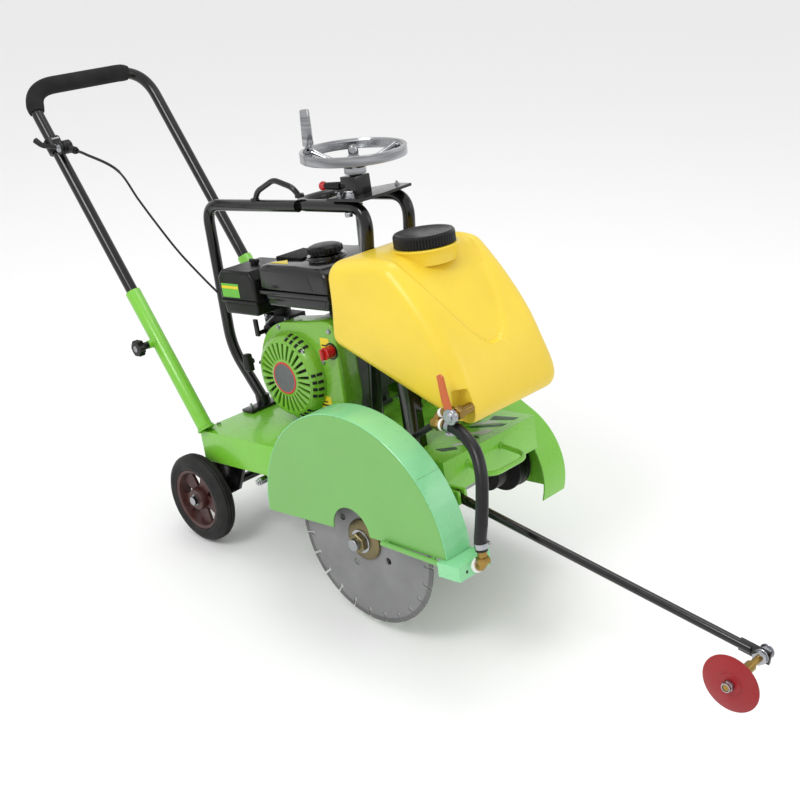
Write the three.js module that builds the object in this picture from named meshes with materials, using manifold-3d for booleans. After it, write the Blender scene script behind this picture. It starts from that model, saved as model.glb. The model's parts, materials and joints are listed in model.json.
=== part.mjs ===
// Walk-behind concrete saw: millimetres, +Z up, +X forward, +Y to the operator's left.
// The chassis is drawn level in its own group, with its zero at the blade's centre. The group is
// then tipped nose-up about the rear axle, which is how the saw stands with its front wheels down.
import * as THREE from "three";
import { mergeVertices } from "three/addons/utils/BufferGeometryUtils.js";
import Module from "manifold-3d";

const wasm = await Module();
wasm.setup();

// ---- driving dimensions -------------------------------------------------------------------
const GAP = 0.4;              // clearance kept between pieces that touch
const NOSE_UP = 9.5;          // degrees, attitude of the deck with the front wheels down
const BLADE_R = 175;
const ARBOR_R = 12.5;
const DECK = { rear: -512, front: 133, right: 17, notch: 103, left: 375, notchX: -262, top: 140 };
const SHEET = 4;
const SKIRT = 70;             // depth of the folded deck
const GUARD = { r: 246, z: 18, bottom: 25, half: 32, wall: 3 };
const TUBE_R = 12.5;          // frame tubes
const HANDLE = { right: 20, left: 335, r: 13, slope: 59.5, footX: -488, socket: 350, top: 868 };
const CAGE = { near: 198, far: 315, top: 599, frontX: -72, footX: -140, rearX: -288 };
const REAR = { x: -518, z: -10, r: 100, rim: 70, width: 40, rightY: -8, leftY: 402 };
const ARM = { pivotX: -330, pivotZ: 45, axleX: -130, axleZ: -127.6, right: 112, yoke: 200, left: 254,
  thick: 6 };
const FRONT = { r: 48, width: 28, rightY: 152, leftY: 226 };
const SCREW = { x: -174, z: -6, lean: 4.5, y: 230, r: 9 };
const ENGINE = { x: -313, z: 250, backY: 340 };
const PULLEY = { engineR: 48, arborR: 58, y0: 398, y1: 434 };
const COVER = { engineR: 86, arborR: 140, wall: 3, foot: -48, left: 446 };
const TANK = { right: 82, left: 350, cap: { x: 55, y: 215, r: 59, z0: 527.6, z1: 552 } };
const VALVE = { x: 224, z: 264, r: 9, seat: 104, branch: { x: 171, y: 62, z: 240 } };
const EARS = { near: 83, far: 100, thick: 7, low: 12, high: 14,
  bore: 5.5 };   // the pointer's pivot ears on the deck
const BAIL = { r: 5, bend: 9, y0: 170, y1: 268, z: 114 };
const HOUSING = { r: 40, depth: 26, rightY: 108, leftY: 350 };   // arbor bearings
const FLANGE_R = 42;
const FIN = { count: 5, pitch: 10, thick: 4 };
const GUIDE = { y: 95, x: 165, z: 83, length: 634, drop: 13.7, r: 8, discR: 48, discY: 0 };
const COLORS = {
  lime: 0x62b52c, mint: 0x79c68c, yellow: 0xf0b020, black: 0x17181a, steel: 0xb9bcc0,
  zinc: 0xb8a860, rubber: 0x222224, rim: 0x5a1f1c, red: 0xc81e22, orange: 0xe8581c, grey: 0x6d7074,
};

// ---- small tools --------------------------------------------------------------------------
const deg = THREE.MathUtils.degToRad;
const vec = (x, y, z) => new THREE.Vector3(x, y, z);
const saw = new THREE.Group();
const chassis = new THREE.Group();
saw.add(chassis);

function add(name, geometry, color, roughness = 0.5, metalness = 0) {
  const material = new THREE.MeshStandardMaterial({ color, roughness, metalness });
  const mesh = new THREE.Mesh(geometry, material);
  mesh.name = name;
  chassis.add(mesh);
  return mesh;
}

function solid(geometry) {
  const bare = geometry.index ? geometry.toNonIndexed() : geometry.clone();
  bare.deleteAttribute("normal");
  bare.deleteAttribute("uv");
  const merged = mergeVertices(bare, 1e-4);
  return new wasm.Manifold(new wasm.Mesh({
    numProp: 3,
    vertProperties: new Float32Array(merged.attributes.position.array),
    triVerts: new Uint32Array(merged.index.array),
  }));
}

function geometryOf(manifold) {
  const mesh = manifold.getMesh();
  const geometry = new THREE.BufferGeometry();
  geometry.setAttribute("position", new THREE.BufferAttribute(mesh.vertProperties, 3));
  geometry.setIndex(new THREE.BufferAttribute(mesh.triVerts, 1));
  return geometry;
}

const join = (...parts) => geometryOf(parts.map(solid).reduce((a, b) => a.add(b)));
const cut = (base, ...tools) => geometryOf(tools.map(solid).reduce((a, b) => a.subtract(b), solid(base)));

function box(x0, x1, y0, y1, z0, z1) {
  const geometry = new THREE.BoxGeometry(x1 - x0, y1 - y0, z1 - z0);
  return geometry.translate((x0 + x1) / 2, (y0 + y1) / 2, (z0 + z1) / 2);
}

// Round bar between two points.
function rod(a, b, r, sides = 16, r2 = r) {
  const geometry = new THREE.CylinderGeometry(r2, r, a.distanceTo(b), sides);
  const turn = new THREE.Quaternion().setFromUnitVectors(vec(0, 1, 0), b.clone().sub(a).normalize());
  geometry.applyQuaternion(turn);
  const middle = a.clone().add(b).multiplyScalar(0.5);
  return geometry.translate(middle.x, middle.y, middle.z);
}

const rodY = (x, z, y0, y1, r, sides = 24) => rod(vec(x, y0, z), vec(x, y1, z), r, sides);

// Closed ring profile [[radius, y], ...] turned about an axis along Y through (x, z).
function turned(profile, x, z, sides = 40) {
  const points = [...profile, profile[0]].map(([r, y]) => new THREE.Vector2(r, y));
  return new THREE.LatheGeometry(points, sides).translate(x, 0, z);
}

function disc(r, sides, x = 0, z = 0) {
  const corners = Array.from({ length: sides }, (_, i) => {
    const angle = (i + 0.5) / sides * Math.PI * 2;
    return new THREE.Vector2(x + r * Math.cos(angle), z + r * Math.sin(angle));
  });
  return new THREE.Shape(corners);
}

// Outline in the XZ plane, made thick from y0 to y1.
function plate(outline, y0, y1, holes = []) {
  const shape = outline instanceof THREE.Shape ? outline : new THREE.Shape(outline.map(([x,
    z]) => new THREE.Vector2(x, z)));
  for (const [x, z, r] of holes) shape.holes.push(disc(r / Math.cos(Math.PI / 10), 10, x, z));
  const geometry = new THREE.ExtrudeGeometry(shape, { depth: y1 - y0, bevelEnabled: false,
    curveSegments: 8 });
  return geometry.rotateX(Math.PI / 2).translate(0, y1, 0);
}

// Outline in the XY plane, made thick from z0 to z1.
function slab(outline, z0, z1) {
  const shape = new THREE.Shape(outline.map(([x, y]) => new THREE.Vector2(x, y)));
  return new THREE.ExtrudeGeometry(shape, { depth: z1 - z0, bevelEnabled: false }).translate(0, 0, z0);
}

// Straight runs joined by smooth corners of about the given bend radius.
function bentPath(points, bend) {
  const path = new THREE.CurvePath();
  let from = points[0];
  for (let i = 1; i < points.length - 1; i += 1) {
    const corner = points[i];
    const before = corner.clone().add(points[i - 1].clone().sub(corner).setLength(bend));
    const after = corner.clone().add(points[i + 1].clone().sub(corner).setLength(bend));
    path.add(new THREE.LineCurve3(from, before));
    path.add(new THREE.QuadraticBezierCurve3(before, corner, after));
    from = after;
  }
  path.add(new THREE.LineCurve3(from, points[points.length - 1]));
  return path;
}

const sweep = (path, r, steps, sides = 12) => new THREE.ExtrudeGeometry(disc(r, sides),
  { steps, extrudePath: path });
const bentTube = (points, r, bend, steps, sides = 12) => sweep(bentPath(points, bend), r, steps, sides);
const smoothTube = (points, r, steps, sides = 10) => sweep(new THREE.CatmullRomCurve3(points, false,
  "centripetal"), r, steps, sides);

// ---- deck and frame -----------------------------------------------------------------------
function deckOutline(inset) {
  const { rear, front, right, notch, left, notchX } = DECK;
  return [
    [rear + inset, right + inset], [notchX - inset, right + inset], [notchX - inset, notch + inset],
    [front - inset, notch + inset], [front - inset, left - inset], [rear + inset, left - inset],
  ];
}

function makeDeck() {
  const bottom = DECK.top - SKIRT;
  const shell = cut(slab(deckOutline(0), bottom, DECK.top), slab(deckOutline(SHEET),
    bottom - 1, DECK.top - SHEET));
  const screwHole = rod(screwPoint(60), screwPoint(220), 22, 24);
  const { near, far, thick } = EARS;
  const bottomOfEars = GUIDE.z - EARS.low;
  const topOfEars = GUIDE.z + EARS.high;
  const ears = [near, far].map((y) => box(DECK.front - 2, GUIDE.x + 16, y, y + thick, bottomOfEars,
    topOfEars));
  const earBore = rodY(GUIDE.x, GUIDE.z, near - 10, far + thick + 10, EARS.bore, 16);
  const body = join(shell, ...ears, box(DECK.front - 3, DECK.front, near, far + thick, bottomOfEars,
    topOfEars));
  add("deck", cut(body, screwHole, earBore), COLORS.lime, 0.35);
  const root = DECK.front + 2.2;
  const { y0, y1, z } = BAIL;
  const bail = [vec(root, y0, z), vec(182, y0 - 8, z - 10), vec(196, y0 + 8, z - 12),
    vec(196, y1 - 10, z - 12),
    vec(182, y1 + 6, z - 10), vec(root, y1, z)];
  add("front_bail", bentTube(bail, BAIL.r, BAIL.bend, 14, 8), COLORS.lime, 0.35);
}

const handleAxis = vec(-Math.cos(deg(HANDLE.slope)), 0, Math.sin(deg(HANDLE.slope)));
const handlePoint = (y, along) => vec(HANDLE.footX, y, DECK.top).addScaledVector(handleAxis, along);

function makeHandle() {
  for (const [side, y, out] of [["right", HANDLE.right, -1], ["left", HANDLE.left, 1]]) {
    const outer = rod(handlePoint(y, -20), handlePoint(y, HANDLE.socket), 17, 20);
    const bore = rod(handlePoint(y, 40), handlePoint(y, HANDLE.socket + 5), HANDLE.r + 0.6, 20);
    const stud = handlePoint(y, 225);
    const boss = rod(stud.clone().add(vec(0, out * 15, 0)), stud.clone().add(vec(0, out * 30, 0)), 9, 16);
    const belowDeck = box(HANDLE.footX - 60, HANDLE.footX + 80, y - 30, y + 30, DECK.top - 60,
      DECK.top + GAP);
    add(`handle_socket_${side}`, cut(join(outer, boss), bore, belowDeck), COLORS.lime, 0.35);
    const knobStart = stud.clone().add(vec(0, out * 30.5, 0));
    const knobNeck = knobStart.clone().add(vec(0, out * 16, 0));
    const knobEnd = knobStart.clone().add(vec(0, out * 32, 0));
    add(`star_knob_${side}`, join(rod(knobStart, knobEnd, 5, 12), rod(knobNeck, knobEnd, 19, 10)),
      COLORS.black, 0.4);
  }
  const low = 150;
  const bar = [handlePoint(HANDLE.right, low), handlePoint(HANDLE.right, HANDLE.top),
    handlePoint(HANDLE.left, HANDLE.top), handlePoint(HANDLE.left, low)];
  const tube = (r) => bentTube(bar, r, 75, 28, 10);
  add("handlebar", tube(HANDLE.r), COLORS.black, 0.25);
  const tilt = new THREE.Quaternion().setFromUnitVectors(vec(0, 0, 1), handleAxis);
  const reach = new THREE.BoxGeometry(200, 310, 140).applyQuaternion(tilt);
  const middle = handlePoint(135, HANDLE.top + 10);
  reach.translate(middle.x, middle.y, middle.z);
  const foam = solid(tube(19.5)).subtract(solid(tube(HANDLE.r + 0.5))).intersect(solid(reach));
  add("foam_grip", geometryOf(foam), COLORS.rubber, 0.9);
}

const throttleAxis = vec(0.974, 0, -0.225);
const throttleSeat = handlePoint(HANDLE.right, 733);
const throttlePoint = (along, y = HANDLE.right) => throttleSeat.clone().addScaledVector(throttleAxis,
  along).setY(y);

function makeThrottle() {
  const y = HANDLE.right;
  const along = (d) => throttleSeat.clone().addScaledVector(handleAxis, d);
  const ring = cut(rod(along(-27), along(6), 19, 20), rod(along(-30), along(9), HANDLE.r + 0.5, 20));
  const body = rod(throttlePoint(54, y - 10), throttlePoint(54, y + 10), 15, 24);
  const outlet = rod(throttlePoint(54), throttlePoint(98), 8, 12);
  add("throttle_clamp", join(ring, rod(throttlePoint(28), throttlePoint(54), 8, 12), body, outlet),
    COLORS.black, 0.4);
  const cap = rod(throttlePoint(54, y - 18), throttlePoint(54, y - 10.4), 13, 24);
  const tip = throttlePoint(-8, y - 36).add(vec(0, 0, 8));
  add("throttle_lever", join(cap, rod(throttlePoint(54, y - 15), tip, 4, 10, 7)), COLORS.black, 0.4);
}

const hoopFoot = (y) => vec(CAGE.footX, y, DECK.top + 2.4);
const hoopTop = (y) => vec(CAGE.frontX, y, CAGE.top);

function makeCage() {
  const y = 190;
  const rearLeg = [vec(-498, y, 160.4), vec(-578, y, 270), vec(-572, y, 597), vec(CAGE.rearX + 5, y, 599)];
  const bar = box(-511, -475, 136, 244, DECK.top + GAP, DECK.top + 8);
  const socket = rod(vec(-498, y, 146), vec(-500, y, 166), 16, 16);
  const loop = [vec(-398, y, 608), vec(-385, y, 628), vec(-326, y, 652), vec(-275, y + 4, 636),
    vec(-262, 198, 616)];
  const leg = join(bentTube(rearLeg, TUBE_R, 45, 20, 8), bar, socket, bentTube(loop, 6, 12, 12, 8));
  add("cage_rear_leg", leg, COLORS.black, 0.25);
  const hoop = [hoopFoot(CAGE.near), hoopTop(CAGE.near), vec(CAGE.rearX, CAGE.near, CAGE.top),
    vec(CAGE.rearX, CAGE.far, CAGE.top), hoopTop(CAGE.far), hoopFoot(CAGE.far)];
  add("cage_front_hoop", bentTube(hoop, TUBE_R, 51, 36, 8), COLORS.black, 0.25);
}

// ---- depth control ------------------------------------------------------------------------
const screwAxis = vec(Math.sin(deg(SCREW.lean)), 0, Math.cos(deg(SCREW.lean)));
const screwPoint = (along) => vec(SCREW.x, SCREW.y, SCREW.z).addScaledVector(screwAxis, along);

function onScrew(geometry, along) {
  const turn = new THREE.Quaternion().setFromUnitVectors(vec(0, 1, 0), screwAxis);
  const place = screwPoint(along);
  return geometry.applyQuaternion(turn).translate(place.x, place.y, place.z);
}

// Point on the handwheel: radius and angle about the screw, at a height along it.
function wheelPoint(radius, angle, along) {
  const outward = vec(radius * Math.cos(deg(angle)), 0, radius * Math.sin(deg(angle)));
  const turn = new THREE.Quaternion().setFromUnitVectors(vec(0, 1, 0), screwAxis);
  return screwPoint(along).add(outward.applyQuaternion(turn));
}

function makeDepthControl() {
  const { r } = SCREW;
  const plateZ = CAGE.top + TUBE_R + GAP;
  const topPlate = slab([[-158, 178], [-64, 178], [-60, 240], [-74, 330], [-120, 330], [-158, 262]],
    plateZ, plateZ + 6);
  const column = join(rod(screwPoint(622), screwPoint(658), 22, 8), rod(screwPoint(650), screwPoint(668),
    13, 16));
  const bore = rod(screwPoint(560), screwPoint(720), r + 0.5, 20);
  add("screw_block", cut(join(topPlate, column), bore), COLORS.black, 0.35);
  add("lead_screw", rod(screwPoint(-48), screwPoint(716), r, 16), COLORS.steel, 0.3, 1);
  const rimAt = 706;
  const hubAt = 680;
  const rim = onScrew(new THREE.TorusGeometry(97, 8, 8, 24).rotateX(Math.PI / 2), rimAt);
  const hub = onScrew(new THREE.CylinderGeometry(17, 22, 20, 20), hubAt);
  const hubBore = rod(screwPoint(660), screwPoint(720), r + 0.4, 20);
  const spokes = [40, 160, 280].map((angle) => rod(wheelPoint(13, angle, hubAt),
    wheelPoint(94, angle, rimAt), 5.5, 8));
  add("handwheel", cut(join(rim, hub, ...spokes), hubBore), COLORS.steel, 0.12, 1);
  const pinPoint = (along) => wheelPoint(97, 155, rimAt + along);
  const grip = join(rod(pinPoint(12), pinPoint(83), 11, 16, 9), rod(pinPoint(8.4), pinPoint(13), 5, 12));
  add("handwheel_grip", grip, COLORS.steel, 0.3, 1);
  const lever = screwPoint(640).add(vec(-22.6, -3, 0));
  const ball = lever.clone().add(vec(-58, -12, 3));
  const knob = new THREE.SphereGeometry(9, 10, 6).translate(ball.x, ball.y, ball.z);
  add("lock_lever", join(rod(lever, ball, 7, 10), knob), COLORS.red, 0.3);
  const pins = rodY(SCREW.x, SCREW.z, ARM.yoke - 4, ARM.left + ARM.thick + 4, 5.5, 12);
  const nut = join(rod(screwPoint(-16), screwPoint(16), 17, 6), pins);
  add("lift_nut", cut(nut, rod(screwPoint(-30), screwPoint(30), r + 0.4, 20)), COLORS.steel, 0.4, 1);
}

function makeFrontArm() {
  const { pivotX, pivotZ, axleX, axleZ, right, yoke, left, thick } = ARM;
  const pinHole = [SCREW.x - 2.3, SCREW.z, 10.5];
  const outline = [[pivotX - 13, pivotZ - 4], [pivotX - 9, pivotZ + 10], [pivotX + 6, pivotZ + 12],
    [SCREW.x - 20, 16],
    [SCREW.x + 20, 14], [SCREW.x + 30, -20], [axleX + 16, axleZ + 22], [axleX + 22, axleZ],
      [axleX + 8, axleZ - 20],
    [axleX - 14, axleZ - 18], [-200, -60], [pivotX - 6, pivotZ - 14]];
  const short = [[-262, 14], [SCREW.x - 20, 16], [SCREW.x + 20, 14], [-114, -30], [-120, -50], [-264, -34]];
  const cheeks = [right, left].map((y) => plate(outline, y, y + thick, [[pivotX, pivotZ, 10.5], pinHole]));
  const inner = plate(short, yoke, yoke + thick, [pinHole]);
  const ties = [[-248, -6], [-128, -38]].map(([x, z]) => rodY(x, z, right + 1, left + thick - 1, 7, 12));
  const axle = rodY(axleX, axleZ, right + 1, left + thick + 12, 9, 16);
  add("front_arm", join(...cheeks, inner, ...ties, axle), COLORS.black, 0.35);
  const w = FRONT.width / 2;
  for (const [side, y] of [["right", FRONT.rightY], ["left", FRONT.leftY]]) {
    const wheel = turned([[9.6, y - w], [FRONT.r - 5, y - w], [FRONT.r, y - w + 5], [FRONT.r, y + w - 5],
      [FRONT.r - 5, y + w], [9.6, y + w]], axleX, axleZ, 24);
    add(`front_wheel_${side}`, wheel, COLORS.rubber, 0.7);
  }
}

function makeRearAxle() {
  const { x, z } = REAR;
  const shaft = rodY(x, z, REAR.rightY - 27, REAR.leftY + 27, 10, 20);
  const top = DECK.top - SKIRT - GAP;
  const { pivotX, pivotZ } = ARM;
  const bracket = (y) => plate([[x - 4, top], [x - 18, z - 12], [x + 12, z - 18], [x + 82, z + 16],
    [x + 118, top]], y, y + 8);
  const lug = (y) => plate([[pivotX - 24, top], [pivotX - 24, pivotZ], [pivotX - 12, pivotZ - 18],
    [pivotX + 12, pivotZ - 18], [pivotX + 24, pivotZ], [pivotX + 24, top]], y, y + 7);
  const rails = [box(x + 10, x + 118, 34, 358, top - 6, top),
    box(x + 116, pivotX + 24, 92, 282, top - 6, top)];
  const pin = rodY(pivotX, pivotZ, 88, 286, 10, 20);
  const body = join(shaft, bracket(34), bracket(350), ...rails, pin, lug(98), lug(ARM.left + 14));
  add("rear_axle", body, COLORS.black, 0.35);
  for (const [side, y] of [["right", REAR.rightY], ["left", REAR.leftY]]) {
    const w = REAR.width / 2;
    const rim = turned([[10.5, y - 18], [24, y - 18], [24, y - 5], [60, y - 5], [62, y - 16],
      [REAR.rim - 2, y - 16],
      [REAR.rim - 2, y + 16], [62, y + 16], [60, y + 5], [24, y + 5], [24, y + 18], [10.5, y + 18]],
        x, z, 20);
    const windows = [0, 1, 2, 3, 4].map((i) => {
      const angle = deg(20 + i * 72);
      return rodY(x + 42 * Math.cos(angle), z + 42 * Math.sin(angle), y - 9, y + 9, 12, 6);
    });
    add(`rear_rim_${side}`, cut(rim, ...windows), COLORS.rim, 0.6);
    const tyre = turned([[REAR.rim - 1, y - w + 2], [REAR.r - 12, y - w], [REAR.r, y - w + 12],
      [REAR.r, y + w - 12], [REAR.r - 12, y + w], [REAR.rim - 1, y + w - 2]], x, z, 24);
    add(`rear_tyre_${side}`, tyre, COLORS.rubber, 0.8);
  }
}

// ---- engine -------------------------------------------------------------------------------
function makeEngine() {
  const { x, z, backY } = ENGINE;
  const deckTop = DECK.top + GAP;
  const crankcase = plate([[x - 72, deckTop], [x + 82, deckTop], [x + 82, z + 20], [x + 40, z + 80],
    [x - 60, z + 80],
    [x - 72, z + 40]], 206, backY - 12);
  const feet = box(x - 92, x + 96, 214, 324, deckTop, deckTop + 9);
  const cylinder = box(x + 60, x + 118, 222, 318, z - 46, z + 44);
  const fins = Array.from({ length: FIN.count }, (_, i) => {
    const start = x + 74 + i * FIN.pitch;
    return box(start, start + FIN.thick, 208, 330, z - 60, z + 56);
  });
  const boss = rodY(x, z, backY - 13, backY, 42, 28);
  add("engine_block", join(crankcase, feet, cylinder, ...fins, boss), COLORS.grey, 0.55, 0.4);

  const housing = new THREE.Shape();
  housing.absarc(x, z + 4, 108, deg(100), deg(290), false);
  housing.lineTo(x + 128, z - 84);
  housing.lineTo(x + 142, z - 40);
  housing.lineTo(x + 142, z + 96);
  housing.quadraticCurveTo(x + 138, z + 122, x + 104, z + 124);
  add("blower_housing", plate(housing, 150, 204), COLORS.lime, 0.35);
  const cover = turned([[0, 118], [60, 118], [84, 125], [92, 136], [94, 149.6], [0, 149.6]], x, z, 24);
  add("recoil_cover", cover, COLORS.lime, 0.35);
  const pull = join(box(x - 118, x - 98, 104, 120, z + 6, z + 44), rodY(x - 108, z + 25, 118, 126, 6, 12));
  add("pull_handle", pull, COLORS.black, 0.5);
  const tank = new THREE.Shape();
  tank.moveTo(x - 50, 394);
  tank.lineTo(x + 150, 394);
  tank.lineTo(x + 156, 462);
  tank.quadraticCurveTo(x + 152, 484, x + 120, 486);
  tank.lineTo(x - 34, 486);
  tank.quadraticCurveTo(x - 58, 482, x - 60, 460);
  add("fuel_tank", plate(tank, 140, 330), COLORS.black, 0.3);
  const capAt = vec(x + 62, 232, 486.4);
  const capNeck = rod(capAt, capAt.clone().setZ(494), 26, 24);
  const capTop = rod(capAt.clone().setZ(492), capAt.clone().setZ(512), 36, 28);
  add("fuel_cap", join(capNeck, capTop), COLORS.black, 0.4);
  add("air_filter_box", plate([[x - 186, 372], [x - 66, 372], [x - 66, 458], [x - 78, 470], [x - 176, 470],
    [x - 186, 456]],
    130, 250), COLORS.black, 0.4);
  const carb = join(box(x - 158, x - 73, 214, 262, 300, 350), rod(vec(x - 120, 236, 340),
    vec(x - 120, 236, 371.6), 20, 20),
    rodY(x - 130, 318, 196, 216, 16, 16));
  add("carburettor", carb, COLORS.grey, 0.4, 0.6);
  add("muffler", join(box(x + 60, x + 142, 216, 326, 312, 386), rodY(x + 100, 350, 324, 346, 12, 16)),
    COLORS.grey, 0.5, 0.5);
  const knob = join(rodY(x + 126, 312, 128, 149.6, 13, 20), box(x + 122, x + 130, 120, 130, 300, 324));
  add("engine_switch", knob, COLORS.red, 0.4);
  const lever = join(rodY(x - 140, 318, 176, 195.6, 5, 12), box(x - 146, x - 134, 172, 177, 312, 350));
  add("choke_lever", lever, COLORS.black, 0.4);
}

// ---- belt drive ---------------------------------------------------------------------------
// Outline of a belt round two pulleys: centres a and b, radii ra and rb.
function beltOutline(a, ra, b, rb) {
  const along = Math.atan2(b[1] - a[1], b[0] - a[0]);
  const spread = Math.acos((ra - rb) / Math.hypot(b[0] - a[0], b[1] - a[1]));
  const shape = new THREE.Shape();
  shape.absarc(b[0], b[1], rb, along - spread, along + spread, false);
  shape.absarc(a[0], a[1], ra, along + spread, along - spread + Math.PI * 2, false);
  return shape;
}

function beltRing(extraOut, extraIn, y0, y1, ra, rb) {
  const a = [ENGINE.x, ENGINE.z];
  const b = [0, 0];
  const outer = beltOutline(a, ra + extraOut, b, rb + extraOut);
  outer.holes.push(new THREE.Path(beltOutline(a, ra + extraIn, b, rb + extraIn).getPoints(8)));
  return plate(outer, y0, y1);
}

function grooved(r, x, z, bore) {
  const { y0, y1 } = PULLEY;
  return turned([[bore, y0], [r, y0], [r, y0 + 4], [r - 9, y0 + 5], [r - 9, y1 - 5], [r, y1 - 4], [r, y1],
    [bore, y1]], x, z, 24);
}

function makeDrive() {
  const { x, z, backY } = ENGINE;
  const { engineR, arborR, y0, y1 } = PULLEY;
  add("engine_pulley", join(grooved(engineR, x, z, 9), rodY(x, z, backY + GAP, y1 + 6, 9.5, 20)),
    COLORS.grey, 0.5, 0.6);
  add("arbor_pulley", grooved(arborR, 0, 0, ARBOR_R + 0.4), COLORS.black, 0.45, 0.4);
  add("drive_belt", beltRing(-0.5, -8.5, y0 + 6, y1 - 6, engineR, arborR), COLORS.rubber, 0.8);
  const shaft = join(rodY(0, 0, -36, y1 + 6, ARBOR_R, 20), rodY(0, 0, 2.2, 12, FLANGE_R, 24));
  add("arbor_shaft", shaft, COLORS.steel, 0.35, 1);
  for (const [side, y] of [["right", HOUSING.rightY], ["left", HOUSING.leftY]]) {
    const { r, depth } = HOUSING;
    const housing = join(rodY(0, 0, y, y + depth, r, 24), box(-52, 52, y + 4, y + 22, 8, r),
      box(-62, 62, y + 4, y + 20, r, DECK.top - SHEET - GAP));
    add(`bearing_${side}`, cut(housing, rodY(0, 0, y - 5, y + depth + 5, ARBOR_R + 0.5, 20)),
      COLORS.black, 0.45, 0.5);
  }
  const { wall, left } = COVER;
  const outer = beltOutline([x, z], COVER.engineR, [0, 0], COVER.arborR);
  const inner = beltOutline([x, z], COVER.engineR - wall, [0, 0], COVER.arborR - wall);
  const openFoot = box(-420, 200, DECK.left - 5, left + 5, -160, COVER.foot);
  const cover = cut(plate(outer, DECK.left + GAP, left), plate(inner, DECK.left - 5, left - wall), openFoot);
  add("belt_guard", cover, COLORS.lime, 0.35);
}

// ---- blade, guard and water ---------------------------------------------------------------
function makeBlade() {
  const segments = 24;
  const slotDepth = 15;
  const slotHalf = 2.2 / BLADE_R;
  const points = [];
  for (let i = 0; i < segments; i += 1) {
    const from = i / segments * Math.PI * 2 + slotHalf;
    const to = (i + 1) / segments * Math.PI * 2 - slotHalf;
    for (const t of [0, 1]) {
      const angle = from + (to - from) * t;
      points.push([BLADE_R * Math.cos(angle), BLADE_R * Math.sin(angle)]);
    }
    const middle = (i + 1) / segments * Math.PI * 2;
    const root = BLADE_R - slotDepth;
    for (const [r, side] of [[root, -1.3], [root - 8, 0], [root, 1.3]]) {
      const angle = middle + side * slotHalf;
      points.push([r * Math.cos(angle), r * Math.sin(angle)]);
    }
  }
  const pins = [58, 148, 238, 328].map((a) => [66 * Math.cos(deg(a)), 66 * Math.sin(deg(a)), 6]);
  add("blade", plate(points, -1.5, 1.5, [[0, 0, ARBOR_R + 0.5], ...pins]), COLORS.steel, 0.35, 1);
  const flange = turned([[ARBOR_R + 0.5, -1.9], [FLANGE_R, -1.9], [FLANGE_R, -7], [FLANGE_R - 10, -12],
    [ARBOR_R + 0.5, -12]].reverse(), 0, 0, 24);
  add("outer_flange", flange, COLORS.zinc, 0.35, 0.9);
  const nut = cut(rodY(0, 0, -27, -12.4, 21, 6), rodY(0, 0, -40, 0, ARBOR_R + 0.5, 24));
  add("arbor_nut", nut, COLORS.zinc, 0.35, 0.9);
}

function guardOutline(r, floor) {
  const angle = Math.asin((floor - GUARD.z) / r);
  const shape = new THREE.Shape();
  shape.absarc(0, GUARD.z, r, angle, Math.PI - angle, false);
  return shape;
}

function makeGuard() {
  const { r, bottom, half, wall } = GUARD;
  const shell = cut(plate(guardOutline(r, bottom), -half, half), plate(guardOutline(r - wall, bottom - 10),
    wall - half, half - wall));
  const arch = rodY(0, bottom + 2, -half - 5, half + 5, 50, 24);
  const arms = [-150, 60].map((x) => box(x, x + 46, half - 1, DECK.notch - GAP, 96, 122));
  add("blade_guard", join(cut(shell, arch), ...arms), COLORS.mint, 0.3);
  const blockTop = bottom - GAP;
  const block = join(box(232, 284, -44, 34, -4, blockTop), rod(vec(280, 0, 10), vec(303, 0, 18), 9, 12),
    rod(vec(303, 0, 17), vec(303, 0, 44), 10, 14));
  add("water_block", block, COLORS.lime, 0.35);
  add("spray_pipe", rod(vec(231.6, -38, 18), vec(88, -38, 27), 5, 16), COLORS.lime, 0.35);
}

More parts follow.
